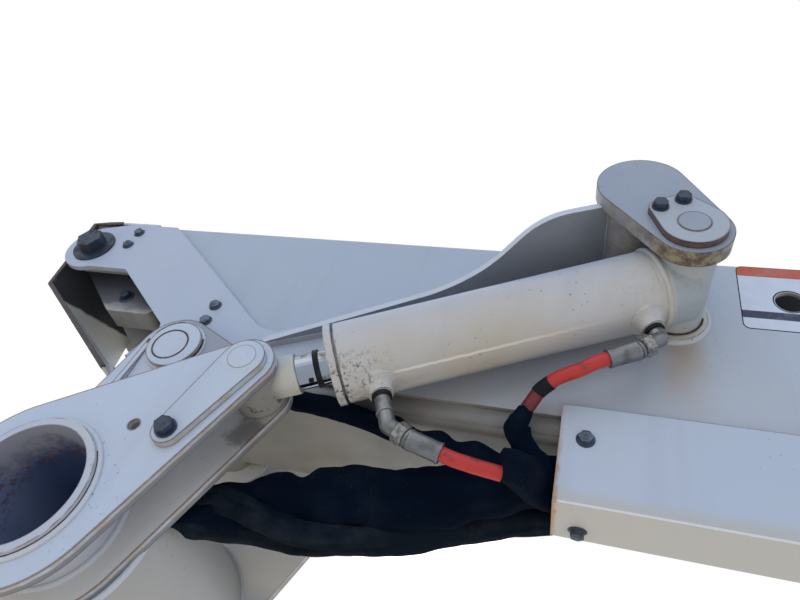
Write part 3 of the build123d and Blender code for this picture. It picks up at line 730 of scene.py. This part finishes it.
def flange_bolt_tree():
    """A bolt on each point of a mesh, standing the way its facing attribute says, each turned a little more."""
    sizes = (("Across Flats", 0.013), ("Head", 0.006), ("Flange Radius", 0.009), ("Flange", 0.002))
    tree, given, end = geometry_tree("flange_bolts", sizes)
    corner, tall, rim_r = given["Across Flats"] * HEX_CORNER, given["Head"], given["Flange Radius"]
    head = put(tree, "GeometryNodeMeshCylinder", Vertices=6, Radius=corner, Depth=tall)
    head = lifted(head, given["Flange"] + tall * 0.5)
    crown = put(
        tree, "GeometryNodeMeshCone", Vertices=12,
        Radius_Bottom=corner * 0.9, Radius_Top=corner * 0.62, Depth=tall * 0.16,
    )
    crown = lifted(crown, given["Flange"] + tall)
    rim = put(
        tree, "GeometryNodeMeshCone", Vertices=28, Radius_Bottom=rim_r, Radius_Top=rim_r * 0.74, Depth=given["Flange"],
    )
    bolt = tree.nodes.new("GeometryNodeJoinGeometry")
    for part, material in ((head, "Material"), (crown, "Material"), (rim, "Second Material")):
        feed(bolt.inputs[0], coat(part, given[material]))
    way = put(tree, "GeometryNodeInputNamedAttribute", {"data_type": "FLOAT_VECTOR"}, Name="facing")
    stand = put(tree, "FunctionNodeAlignRotationToVector", {"axis": "Z"}, Vector=way)
    spin = put(tree, "ShaderNodeCombineXYZ", Z=put(tree, "GeometryNodeInputIndex") * SPIN_STEP)
    turned = put(tree, "FunctionNodeRotateRotation", {"rotation_space": "LOCAL"}, Rotation=stand, Rotate_By=spin)
    rows = put(
        tree, "GeometryNodeInstanceOnPoints", Points=given["Geometry"], Instance=Wire(bolt.outputs[0]), Rotation=turned,
    )
    feed(end, put(tree, "GeometryNodeRealizeInstances", Geometry=rows))
    return tree


def seats(spots):
    """A mesh of lone points, each with the way its bolt faces."""
    mesh = bpy.data.meshes.new("seats")
    mesh.from_pydata([place(*at) for at, _ in spots], [], [])
    ways = mesh.attributes.new("facing", "FLOAT_VECTOR", "POINT")
    ways.data.foreach_set("vector", [c for _, way in spots for c in way])
    return mesh


def both_sides(points, y):
    """The same seats on the near side, at y, and on the far side."""
    return [((x, y, z), NEAR) for x, z in points] + [((x, -y, z), FAR) for x, z in points]


TAIL_BOLTS = ((-222, 434), (-220, 464), (-3, 325), (-3, 296))
COVER_BOLTS_X = (497, 790)
cover_seats = [((x, COVER_FACE, 197), NEAR) for x in COVER_BOLTS_X]
cover_seats += [((x, -63, COVER_FOOT), UNDER) for x in COVER_BOLTS_X]
# Name, seats, then in mm across flats, head, flange's radius and flange, then the head's and the flange's finish
BOLT_ROWS = (
    ("tail_plate_bolts", both_sides(TAIL_BOLTS, TAIL_FACE), 12.5, 3.8, 9.2, 1.6, "dark_plated_steel", "black_steel"),
    ("cover_bolts", cover_seats, 12.5, 5.2, 9.8, 2, "dark_plated_steel", "black_steel"),
    ("extension_bolts", both_sides(((-199, 361),), -70), 14, 7, 12.5, 2, "tail_bolt_steel", None),
    ("hood_bolts", [((-214, y, 497), TOP) for y in (-92, 92)], 10, 5, 7.5, 2, "black_steel", None),
)
BOLTS = flange_bolt_tree()
for name, spots, flats, head, flange_r, flange, material, second in BOLT_ROWS:
    values = {"Across Flats": flats * MM, "Head": head * MM, "Flange Radius": flange_r * MM, "Flange": flange * MM}
    grown(name, BOLTS, seats(spots), values, "boom", material, second)


# ---------------- weld beads and other lines on the surface
def weld_tree():
    """A rippled bead along a line of edges."""
    tree, given, end = geometry_tree("weld_bead", (("Radius", 0.003), ("Pitch", 0.003), ("Ripple", 0.14)))
    line = put(tree, "GeometryNodeMeshToCurve", Mesh=given["Geometry"])
    line = put(tree, "GeometryNodeResampleCurve", {"mode": "LENGTH"}, Curve=line, Length=given["Pitch"] * 0.34)
    wave = (put(tree, "GeometryNodeInputIndex") * (2 * pi / 3)).maths("SINE")
    line = put(tree, "GeometryNodeSetCurveRadius", Curve=line, Radius=wave * given["Ripple"] + 1)
    ring = put(tree, "GeometryNodeCurvePrimitiveCircle", Resolution=10, Radius=given["Radius"])
    bead = put(tree, "GeometryNodeCurveToMesh", Curve=line, Profile_Curve=ring, Fill_Caps=True)
    lumps = (put(tree, "GeometryNodeInputPosition").noise(130, 2) - 0.5) * 0.0009
    outwards = put(tree, "GeometryNodeInputNormal")
    out = put(tree, "ShaderNodeVectorMath", {"operation": "SCALE"}, Vector=outwards, Scale=lumps)
    bead = put(tree, "GeometryNodeSetPosition", Geometry=bead, Offset=out)
    feed(end, coat(put(tree, "GeometryNodeSetShadeSmooth", Geometry=bead), given["Material"]))
    return tree


def line_mesh(points, closed=False):
    mesh = bpy.data.meshes.new("line")
    count = len(points)
    mesh.from_pydata(points, [(i, (i + 1) % count) for i in range(count if closed else count - 1)], [])
    return mesh


def arc(centre, across, up, r, start=0, stop=360, steps=72):
    """Points on a part circle of radius r in mm, from start to stop in degrees."""
    angles = [radians(start + (stop - start) * i / steps) for i in range(steps + 1)]
    return [centre + (across * cos(a) + up * sin(a)) * r * MM for a in angles]


WELDS = weld_tree()
# Kinds of lines: how far apart their ripples are, in metres, how high, as a share of the radius, and the finish
LINES = {
    "weld": (0.0035, 0.14, "paint_weld"),
    "seam": (0.004, 0.04, "paint_seam"),
    "ring": (0.005, 0.06, "paint_cylinder"),
    "rust": (0.006, 0.35, "rust_line"),
}


def bead_along(kind, name, line, bead, body):
    pitch, ripple, material = LINES[kind]
    values = {"Radius": bead * MM, "Pitch": pitch, "Ripple": ripple}
    grown(name, WELDS, line, values, body, material)


# Name, centre, radius, y, body, bead's radius
ROUND_WELDS = (
    ("pivot_ring_weld", PIVOT_RING_AT, 35.6, MAIN_FACE - 0.6, "knuckle", 2.6),
    ("far_ring_weld", PIVOT_RING_AT, 35.6, -MAIN_FACE + 0.6, "knuckle", 2.6),
    ("tube_weld", TUBE_AT, TUBE_R + 1.6, LEVER_FACE - 0.4, "knuckle", 3.4),
    ("tube_weld_main", TUBE_AT, TUBE_R + 1.6, MAIN_FACE - 0.4, "knuckle", 3.6),
    ("tube_weld_far", TUBE_AT, TUBE_R + 1.6, -MAIN_FACE + 0.4, "knuckle", 3.6),
    ("drum_weld", TUBE_AT, DRUM_R + 0.6, -127, "knuckle", 3.4),
    ("drum_weld_far", TUBE_AT, DRUM_R + 0.6, 127, "knuckle", 3.4),
    ("boss_weld", BASE_PIN_AT, 38.8, BOOM_FACE - 0.8, "boom", 3.6),
)
for name, (x, z), r, y, body, bead in ROUND_WELDS:
    ring = arc(place(x, y, z), ALONG, TOP, r)[:-1]
    bead_along("weld", name, line_mesh(ring, closed=True), bead, body)

for name, station, bead in (("barrel_base_weld", 449, 3.2), ("barrel_base_seam", 440.5, 0.7)):
    ring = arc(on_cylinder(station), down, NEAR, BARREL_R - 0.3)[:-1]
    bead_along("ring", name, line_mesh(ring, closed=True), bead, "barrel")

GUSSET_FROM, GUSSET_RISE = (95, 274), tan(radians(22.6))
GUSSET_WELD_X = (100, 200, 300, 400, 466)
gusset_root = [
    place(x, TAIL_FACE - 0.5, GUSSET_FROM[1] + (x - GUSSET_FROM[0]) * GUSSET_RISE + 4.6) for x in GUSSET_WELD_X
]
bead_along("weld", "gusset_weld", line_mesh(gusset_root), 2.6, "boom")

# The tail plate's rear edge, as x and z. The far plate has its straight part only
SEAM = (
    (-148, 475), (-120, 452), (-80, 420.5), (-40, 389), (5, 352.5), (51, 315), (70, 300), (87, 294), (107, 292),
    (137, 299), (196, 328),
)
for side, y, line in (("near", BOOM_FACE - 3.2, SEAM), ("far", -BOOM_FACE + 3.2, SEAM[:7])):
    bead_along("seam", "seam_weld_" + side, line_mesh([place(x, y, z) for x, z in line]), 4.2, "boom")

# Rust that has bled out of the joints round the pins and rings, as part circles:
# name, centre, radius, y, from and to in degrees, body, line's radius
RUST_LINES = (
    ("pivot_pin_rust", PIVOT_AT, 22.6, MAIN_FACE - 8, 0, 360, "knuckle", 0.75),
    ("pivot_ring_rust", PIVOT_RING_AT, 35.4, MAIN_FACE - 3.4, -80, 25, "knuckle", 1.5),
    ("pivot_ring_rust_top", PIVOT_RING_AT, 35, MAIN_FACE - 7.8, 95, 160, "knuckle", 0.6),
    ("tube_mouth_rust", TUBE_AT, TUBE_R + 0.2, LEVER_FACE - 3.2, -170, 40, "knuckle", 0.9),
    ("boss_rust", BASE_PIN_AT, 32, BOOM_FACE - 7.5, -175, -5, "boom", 1),
)
for name, (x, z), r, y, start, stop, body, bead in RUST_LINES:
    bead_along("rust", name, line_mesh(arc(place(x, y, z), ALONG, TOP, r, start, stop, 48)), bead, body)


# ---------------- turned pieces
def turned_on(name, profile, base, way, body, material, sides=48):
    """A closed turned piece: profile is (radius, height) from base along way, in millimetres."""
    up = way.normalized()
    across = up.orthogonal().normalized()
    spokes = [Quaternion(up, 2 * pi * i / sides) @ across for i in range(sides)]
    rings = [[base + (spoke * r + up * h) * MM for spoke in spokes] for r, h in profile]
    return new_piece(name, smooth(mesh_from(name, rings)), body, material)


PORT_FLARE = (
    (22, 38), (21, 43.2), (17.5, 45.2), (15, 47.4), (13.8, 50), (13.3, 53.5), (12.6, 55.6), (9.4, 56.4),
)
PORT_SEAL = ((8.6, 0), (10.6, 0.4), (10.8, 3.4), (10.2, 4.4), (8.6, 4.8))
ELBOW_COLLAR = ((8.6, 0), (9.6, 0.5), (9.6, 3), (8.6, 3.6))
SWIVEL_NUT = ((9, 0), (11.2, 1), (12.4, 2.2), (12.4, 11.4), (11.4, 12.6), (10, 13.2), (9, 13.2))
NUT_COLLAR = ((9, 0), (10.4, 0.4), (10.4, 2.6), (9, 3))
# Name, station and stub on the cylinder, and where its fitting bends and ends, as in the part's source
FITTINGS = (
    ("a", 132, 38, (333, -162, 137), (366, -157, 130)),
    ("b", 425, 14, (540, -165, 280), (511, -165, 264)),
)
PORT_OUT = 56
for name, station, *_ in FITTINGS:
    turned_on("port_flare_" + name, PORT_FLARE, on_cylinder(station), down, "barrel", "paint_cylinder")
for name, station, stub, bend, end in FITTINGS:
    port, corner = on_cylinder(station, PORT_OUT), on_cylinder(station, PORT_OUT + stub)
    bend, end = place(*bend), place(*end)
    arm, shank = bend - corner, end - bend
    hold = shank.length / MM
    ferrule = (
        (9.6, 0), (10.9, 0.6), (11.2, 2), (10.4, 3.2), (10.1, hold - 4), (10.6, hold - 2.6), (10.6, hold - 0.6),
        (10, hold), (7.7, hold),
    )
    for piece, profile, base, way, slot, material, sides in (
        ("port_seal_", PORT_SEAL, port, down, "black_plastic", "black_plastic", 48),
        ("elbow_collar_", ELBOW_COLLAR, port + down * MM * (stub * 0.55), down, "zinc", "fitting_steel", 48),
        ("swivel_nut_", SWIVEL_NUT, corner + arm * 0.36, arm, "zinc", "nut_steel", 6),
        ("nut_collar_", NUT_COLLAR, corner + arm * 0.9, arm, "zinc", "fitting_steel", 48),
        ("ferrule_", ferrule, bend, shank, "zinc", "fitting_steel", 32),
    ):
        turned_on(piece + name, profile, base, way, "barrel", material, sides)


# ---------------- tubes along a route
def followed(route, steps):
    """Points on the smooth spline of a route's control points."""
    line = bpy.data.curves.new("route", "CURVE")
    line.dimensions = "3D"
    spline = line.splines.new("NURBS")
    spline.points.add(len(route) - 1)
    for point, at in zip(spline.points, route):
        point.co = (*place(*at), 1)
    spline.order_u, spline.use_endpoint_u, spline.resolution_u = 3, True, steps
    return [v.co.copy() for v in as_mesh("route", line).vertices]


def girth_at(girths, share):
    """Smooth half-width and half-height between (share, half-width, half-height) stations."""
    for (s0, a0, b0), (s1, a1, b1) in zip(girths, girths[1:]):
        if share <= s1:
            t = (share - s0) / (s1 - s0)
            t = t * t * (3 - 2 * t)
            return a0 + (a1 - a0) * t, b0 + (b1 - b0) * t
    return girths[-1][1:]


# Creases: size round and along the sleeve of the slow folds and of the fine ones, and how strong each is
SLOW_FOLDS, FINE_FOLDS = (1.6, 17, 1.5), (3.2, 46, 0.6)
MAP_WIDTH = 0.02


def tube_along(name, route, girths, sides, steps, folds, seed, body, material, mouth=False):
    """A closed tube along a route; girths give its half-widths, and folds its creases as a share of them.

    Both ends draw in, but for a mouth, the first end, which is cut square.
    """
    points = followed(route, steps)
    travelled = [0]
    for a, b in zip(points, points[1:]):
        travelled.append(travelled[-1] + (b - a).length)
    verts, faces, maps = [], [], []
    side = None
    for k, point in enumerate(points):
        ahead = (points[min(k + 1, len(points) - 1)] - points[max(k - 1, 0)]).normalized()
        up = TOP - ahead * ahead.z
        if up.length < 0.2:
            up = FAR - ahead * ahead.y
        up.normalize()
        if side is not None and up.dot(side) < 0:
            up = -up
        side = up
        across = ahead.cross(up)
        share = travelled[k] / travelled[-1]
        wide, tall = girth_at(girths, share)
        from_end = 1 - share if mouth else min(share, 1 - share)
        drawn_in = min(1, 14 * from_end + 0.35) if folds else 1
        for i in range(sides):
            a = 2 * pi * i / sides
            crease = 1
            if folds:
                for (size, pace, strength), start in ((SLOW_FOLDS, seed), (FINE_FOLDS, -seed)):
                    spot = Vector((size * cos(a), size * sin(a), travelled[k] * pace + start))
                    crease += folds * strength * noise.noise(spot)
            verts.append(point + (across * cos(a) * wide + up * sin(a) * tall) * MM * crease * drawn_in)
            maps.append((travelled[k], a * MAP_WIDTH))
    last = (len(points) - 1) * sides
    for row in range(0, last, sides):
        for i in range(sides):
            j = (i + 1) % sides
            faces.append((row + i, row + j, row + sides + j, row + sides + i))
    faces += [tuple(range(sides))[::-1], tuple(range(last, last + sides))]
    mesh = bpy.data.meshes.new(name)
    mesh.from_pydata(verts, [], faces)
    layer = mesh.uv_layers.new(name="along")
    for loop in mesh.loops:
        layer.data[loop.index].uv = maps[loop.vertex_index]
    work = bmesh.new()
    work.from_mesh(mesh)
    bmesh.ops.recalc_face_normals(work, faces=work.faces)
    work.to_mesh(mesh)
    work.free()
    return new_piece(name, smooth(mesh, 62), body, material)


# ---------------- fabric sleeves
# Each with its route and its girth, as (share of the length, half-width, half-height)
MAIN_SLEEVE = (
    (520, -82, 176), (470, -78, 170), (418, -70, 153), (366, -62, 135), (312, -60, 124), (270, -60, 116),
    (240, -60, 108), (217, -60, 102), (200, -60, 98), (181, -62, 94), (158, -66, 84), (136, -76, 72), (122, -88, 58),
    (112, -101, 43), (106, -113, 30),
)
MAIN_GIRTH = (
    (0, 22, 24), (0.11, 25, 27), (0.19, 26, 24), (0.24, 28, 31), (0.29, 27, 28), (0.36, 30, 34), (0.55, 30, 35),
    (0.65, 28, 34), (0.70, 22, 25), (0.74, 25, 31), (0.79, 24, 28), (0.83, 21, 23), (0.87, 22, 27), (0.92, 18, 21),
    (0.96, 14, 15), (1, 9, 9),
)
LOW_SLEEVE = (
    (520, -16, 172), (488, -18, 164), (462, -22, 152), (430, -30, 138), (400, -36, 126), (367, -40, 112),
    (334, -40, 98), (287, -36, 86), (235, -34, 76), (209, -32, 74), (180, -34, 74), (160, -42, 70), (143, -54, 62),
    (128, -70, 52), (117, -88, 40), (109, -104, 32), (104, -114, 26),
)
LOW_GIRTH = (
    (0, 17, 17), (0.1, 18, 18), (0.3, 18, 18), (0.45, 19, 19), (0.62, 19, 19), (0.74, 21, 23), (0.84, 18, 19),
    (0.93, 14, 14), (1, 8, 8),
)
WRAP_SLEEVE = (
    (365, -40, 112), (330, -46, 96), (280, -56, 77), (240, -64, 64), (203, -73, 60), (172, -86, 64), (140, -95, 70),
    (120, -104, 66), (108, -112, 50),
)
WRAP_GIRTH = ((0, 5, 5), (0.2, 11, 12), (0.5, 12, 13), (0.7, 11, 15), (0.85, 11, 14), (1, 8, 8))
UPPER_SLEEVE = (
    (476, -84, 158), (448, -90, 160), (420, -94, 164), (398, -96, 168), (370, -98, 172), (345, -98, 176),
    (318, -99, 180), (292, -100, 184), (262, -101, 190), (230, -102, 195), (190, -102, 199), (150, -102, 203),
)
UPPER_GIRTH = (
    (0, 15, 16), (0.12, 13, 14), (0.20, 10, 9), (0.28, 12, 14), (0.34, 9, 7), (0.40, 13, 14), (0.47, 8, 7),
    (0.56, 13, 13), (0.66, 11, 11), (0.80, 13, 13), (1, 12, 12),
)
BRANCH_SLEEVE = (
    (434, -121, 219), (432, -120, 211), (427, -117, 203), (430, -110, 193), (439, -102, 182), (454, -95, 170),
    (462, -88, 160),
)
BRANCH_GIRTH = (
    (0, 8.5, 8.5), (0.12, 9.5, 9.5), (0.27, 14, 14), (0.45, 12, 12), (0.65, 12, 12), (0.85, 16, 16),
    (1, 16, 16),
)
CUFF_SLEEVE = (
    (423, -147, 135), (429, -145, 136), (437, -135, 139), (446, -116, 144), (455, -97, 149), (468, -86, 152),
    (520, -84, 154),
)
CUFF_GIRTH = ((0, 14.5, 17), (0.10, 15, 18), (0.25, 15, 20), (0.4, 15, 23), (0.55, 17, 25), (1, 18, 24))
CLOTH, WORN_CLOTH = "black_sleeve_cloth", "worn_sleeve_cloth"

# These three hang from the boom to the knuckle
sleeves = [
    tube_along("main_sleeve", MAIN_SLEEVE, MAIN_GIRTH, 56, 16, 0.13, 3, None, CLOTH),
    tube_along("low_sleeve", LOW_SLEEVE, LOW_GIRTH, 48, 16, 0.12, 11, None, WORN_CLOTH),
    tube_along("wrap_sleeve", WRAP_SLEEVE, WRAP_GIRTH, 40, 16, 0.22, 57, None, WORN_CLOTH),
]
for piece in sleeves:
    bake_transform(piece)
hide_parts("hose_sleeve")
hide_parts("sleeve_low")
tube_along("upper_sleeve", UPPER_SLEEVE, UPPER_GIRTH, 36, 14, 0.2, 23, "boom", CLOTH)
tube_along("branch_sleeve", BRANCH_SLEEVE, BRANCH_GIRTH, 36, 14, 0.10, 31, "boom", CLOTH, mouth=True)
tube_along("cuff_sleeve", CUFF_SLEEVE, CUFF_GIRTH, 40, 14, 0.10, 43, "boom", CLOTH, mouth=True)


# ---------------- hood edge trim
HOOD_EDGE = ((-276, 493), (-300, 490.2), (-328, 486.4), (-319, 417), (-309.5, 341.5), (-210, 272.5), (-113, 205.5))
TRIM_HALF = 3.2


def strip_along(name, line, y_from, y_to):
    """A flat strip of trim that follows a line in x and z, from one depth to another."""
    rings = []
    for k, (x, z) in enumerate(line):
        way = (Vector(line[min(k + 1, len(line) - 1)]) - Vector(line[max(k - 1, 0)])).normalized()
        dx, dz = -way.y * TRIM_HALF, way.x * TRIM_HALF
        corners = ((x - dx, y_from, z - dz), (x + dx, y_from, z + dz), (x + dx, y_to, z + dz), (x - dx, y_to, z - dz))
        rings.append([place(*corner) for corner in corners])
    return new_piece(name, mesh_from(name, rings), "boom", "worn_hood_edge")


strip_along("hood_trim_near", HOOD_EDGE, -107.4, -103)
strip_along("hood_trim_far", HOOD_EDGE[4:], 103, 107.4)


# ---------------- blank panel on the boom's side
def sheet_with_hole(name, low, high, corner, hole_r, thick, material):
    """A thin plate on the boom's near face with rounded corners and a hole at the access hole."""
    left, right, foot, head = low[0] + corner, high[0] - corner, low[1] + corner, high[1] - corner
    outline = []
    for x, z, start in ((right, head, 0), (left, head, 90), (left, foot, 180), (right, foot, 270)):
        outline += arc(place(x, z, 0), ALONG, FAR, corner, start, start + 90, 6)
    hole = arc(place(*ACCESS_HOLE, 0), ALONG, FAR, hole_r, steps=48)[:-1]
    shape = bpy.data.curves.new(name, "CURVE")
    shape.dimensions, shape.fill_mode, shape.extrude = "2D", "BOTH", thick / 2 * MM
    for loop in (outline, hole):
        spline = shape.splines.new("POLY")
        spline.points.add(len(loop) - 1)
        for point, at in zip(spline.points, loop):
            point.co = (*at, 1)
        spline.use_cyclic_u = True
    mesh = as_mesh(name + "_shape", shape)
    mesh.transform(Matrix.Translation((0, (BOOM_FACE - thick / 2) * MM, 0)) @ Matrix.Rotation(pi / 2, 4, "X"))
    return new_piece(name, mesh, "boom", material)


sheet_with_hole("panel_edge", (659.2, 383.2), (769.8, 489.8), 7.8, 17.2, 0.3, "black_plastic")
sheet_with_hole("blank_panel", (660.2, 384.2), (768.8, 488.8), 7, 18.6, 0.5, "blank_panel")


# ---------------- tape, tie and the dome over the rod's pin
TAPE_ROUTE = ((457.5, -145.1, 240.5), (452.9, -141.5, 238.1), (447.2, -137.2, 234.8), (445.4, -134.9, 232.7))
TAPE_GIRTH = ((0, 8.1, 8.1), (1, 8.1, 8.1))
tube_along("hose_tape", TAPE_ROUTE, TAPE_GIRTH, 28, 10, 0, 0, "barrel", "black_plastic")
TIE_LOCK = ((0.6, 18.6), (3.2, 19), (3.4, 22.6), (1.4, 23.4))
tie_way = Vector((0, -0.25, -0.97))
turned_on("tie_lock", TIE_LOCK, on_cylinder(71.5), tie_way, "rod", "black_plastic", 4)
PIN_DOME = ((23.5, -0.3), (22.6, 0.2), (20.4, 0.9), (17.6, 1.7), (14.4, 2.5), (11, 3.1), (6, 3.6), (1, 3.8))
strap_face = place(ROD_PIN_AT[0], LEVER_FACE - 7.6, ROD_PIN_AT[1])
turned_on("pin_dome", PIN_DOME, strap_face, NEAR, "knuckle", "paint_dome")


# ---------------- floor, light and camera
FLOOR_Z, FLOOR_HALF = -0.20, 9
PALE_FLOOR = (0.92, 0.92, 0.91)
GROUND_GLOW = (0.42, 0.39, 0.34)
SHADOW_CATCH = (0.78, 0.66, 0.50)
FLOOR_SHINE = 0.36
SKY_LOW, SKY_HIGH = (0.46, 0.61, 0.90), (0.28, 0.41, 0.69)


def seen_directly(tree):
    """One for the camera's own rays and those that a shiny or clear face sends on."""
    ray = tree.nodes.new("ShaderNodeLightPath").outputs
    camera, glossy, clear = (Wire(ray[f"Is {kind} Ray"]) for kind in ("Camera", "Glossy", "Transmission"))
    return camera.at_least(glossy.at_least(clear))


def stage_material(name):
    """Pale where the camera or a shiny face sees it, and a darker warm ground for the light it throws back."""
    material, inputs, where = bare_material(name, roughness=0.9)
    seen = seen_directly(where.tree)
    mottle = blend(where.noise(40, 3), PALE_FLOOR, tuple(0.97 * c for c in PALE_FLOOR))
    feed(inputs["Base Color"], blend(seen, GROUND_GLOW, SHADOW_CATCH))
    feed(inputs["Emission Color"], blend(seen, (0, 0, 0), mottle))
    inputs["Emission Strength"].default_value = FLOOR_SHINE
    return material


def lay_floor():
    mesh = bpy.data.meshes.new("floor")
    corners = [(x * FLOOR_HALF, y * FLOOR_HALF, FLOOR_Z) for x, y in ((-1, -1), (1, -1), (1, 1), (-1, 1))]
    mesh.from_pydata(corners, [], [(0, 1, 2, 3)])
    mesh.materials.append(stage_material("pale_floor"))
    floor = in_scene("floor", mesh)


def soft_world():
    """Open sky, paler at the horizon, and plain white where the camera or a shiny face looks at it."""
    world = bpy.data.worlds.new("studio")
    bpy.context.scene.world = world
    world.use_nodes = True
    tree = world.node_tree
    tree.nodes.clear()
    height = parts(put(tree, "ShaderNodeTexCoord", out="Generated"))[2]
    sky = blend(ramp(height, 0.05, 0.85), SKY_LOW, SKY_HIGH)
    mixed = tree.nodes.new("ShaderNodeMixShader")
    feed(mixed.inputs[0], seen_directly(tree))
    feed(mixed.inputs[1], put(tree, "ShaderNodeBackground", Color=sky, Strength=1))
    feed(mixed.inputs[2], put(tree, "ShaderNodeBackground", Color=(1, 1, 1), Strength=1))
    feed(tree.nodes.new("ShaderNodeOutputWorld").inputs[0], Wire(mixed.outputs[0]))


# Name, place, target, diameter, watts, colour, seen by the camera and shiny faces, spread in degrees
LAMPS = (
    ("key", (-1.2, -2.8, 2.2), (0.3, 0, 0.3), 2.4, 6, (1, 0.98, 0.95), True, 180),
    ("reflector", (0.25, 0, FLOOR_Z + 0.01), (0.25, 0, 1), 5, 38, (1, 0.94, 0.84), False, 180),
    ("front", (0.1, -2.4, 0.9), (0, 0, 0.9), 1.8, 4.3, (0.92, 0.96, 1), False, 100),
    ("rear", (-0.6, 2.8, 2.2), (0.2, 0, 0.3), 2.2, 14, (1, 1, 1), True, 180),
)


def soft_lamp(name, at, target, size, power, colour, seen, spread):
    light = bpy.data.lights.new(name, "AREA")
    light.spread = radians(spread)
    light.shape, light.size, light.energy, light.color = "DISK", size, power, colour
    lamp = in_scene(name, light)
    at, target = Vector(at), Vector(target)
    lamp.matrix_world = Matrix.Translation(at) @ (target - at).to_track_quat("-Z", "Y").to_matrix().to_4x4()
    lamp.visible_camera = lamp.visible_glossy = seen


# The camera's place, in metres, and its own right, up and back
CAMERA_AT = (0.486, -0.675, -0.168)
CAMERA_AXES = ((0.9534, 0.1430, 0.26565), (-0.0893, -0.7072, 0.70134), (0.2882, -0.6924, -0.66148))
SENSOR_MM, LENS_MM, NEAR_CLIP = 36, 27.89, 0.02


def set_camera():
    lens = bpy.data.cameras.new("camera")
    lens.sensor_fit, lens.sensor_width, lens.lens, lens.clip_start = "HORIZONTAL", SENSOR_MM, LENS_MM, NEAR_CLIP
    camera = in_scene("camera", lens)
    camera.matrix_world = Matrix.Translation(CAMERA_AT) @ Matrix(CAMERA_AXES).transposed().to_4x4()
    bpy.context.scene.camera = camera


lay_floor()
soft_world()
for lamp in LAMPS:
    soft_lamp(*lamp)
set_camera()
bpy.context.scene.view_settings.view_transform = "Standard"
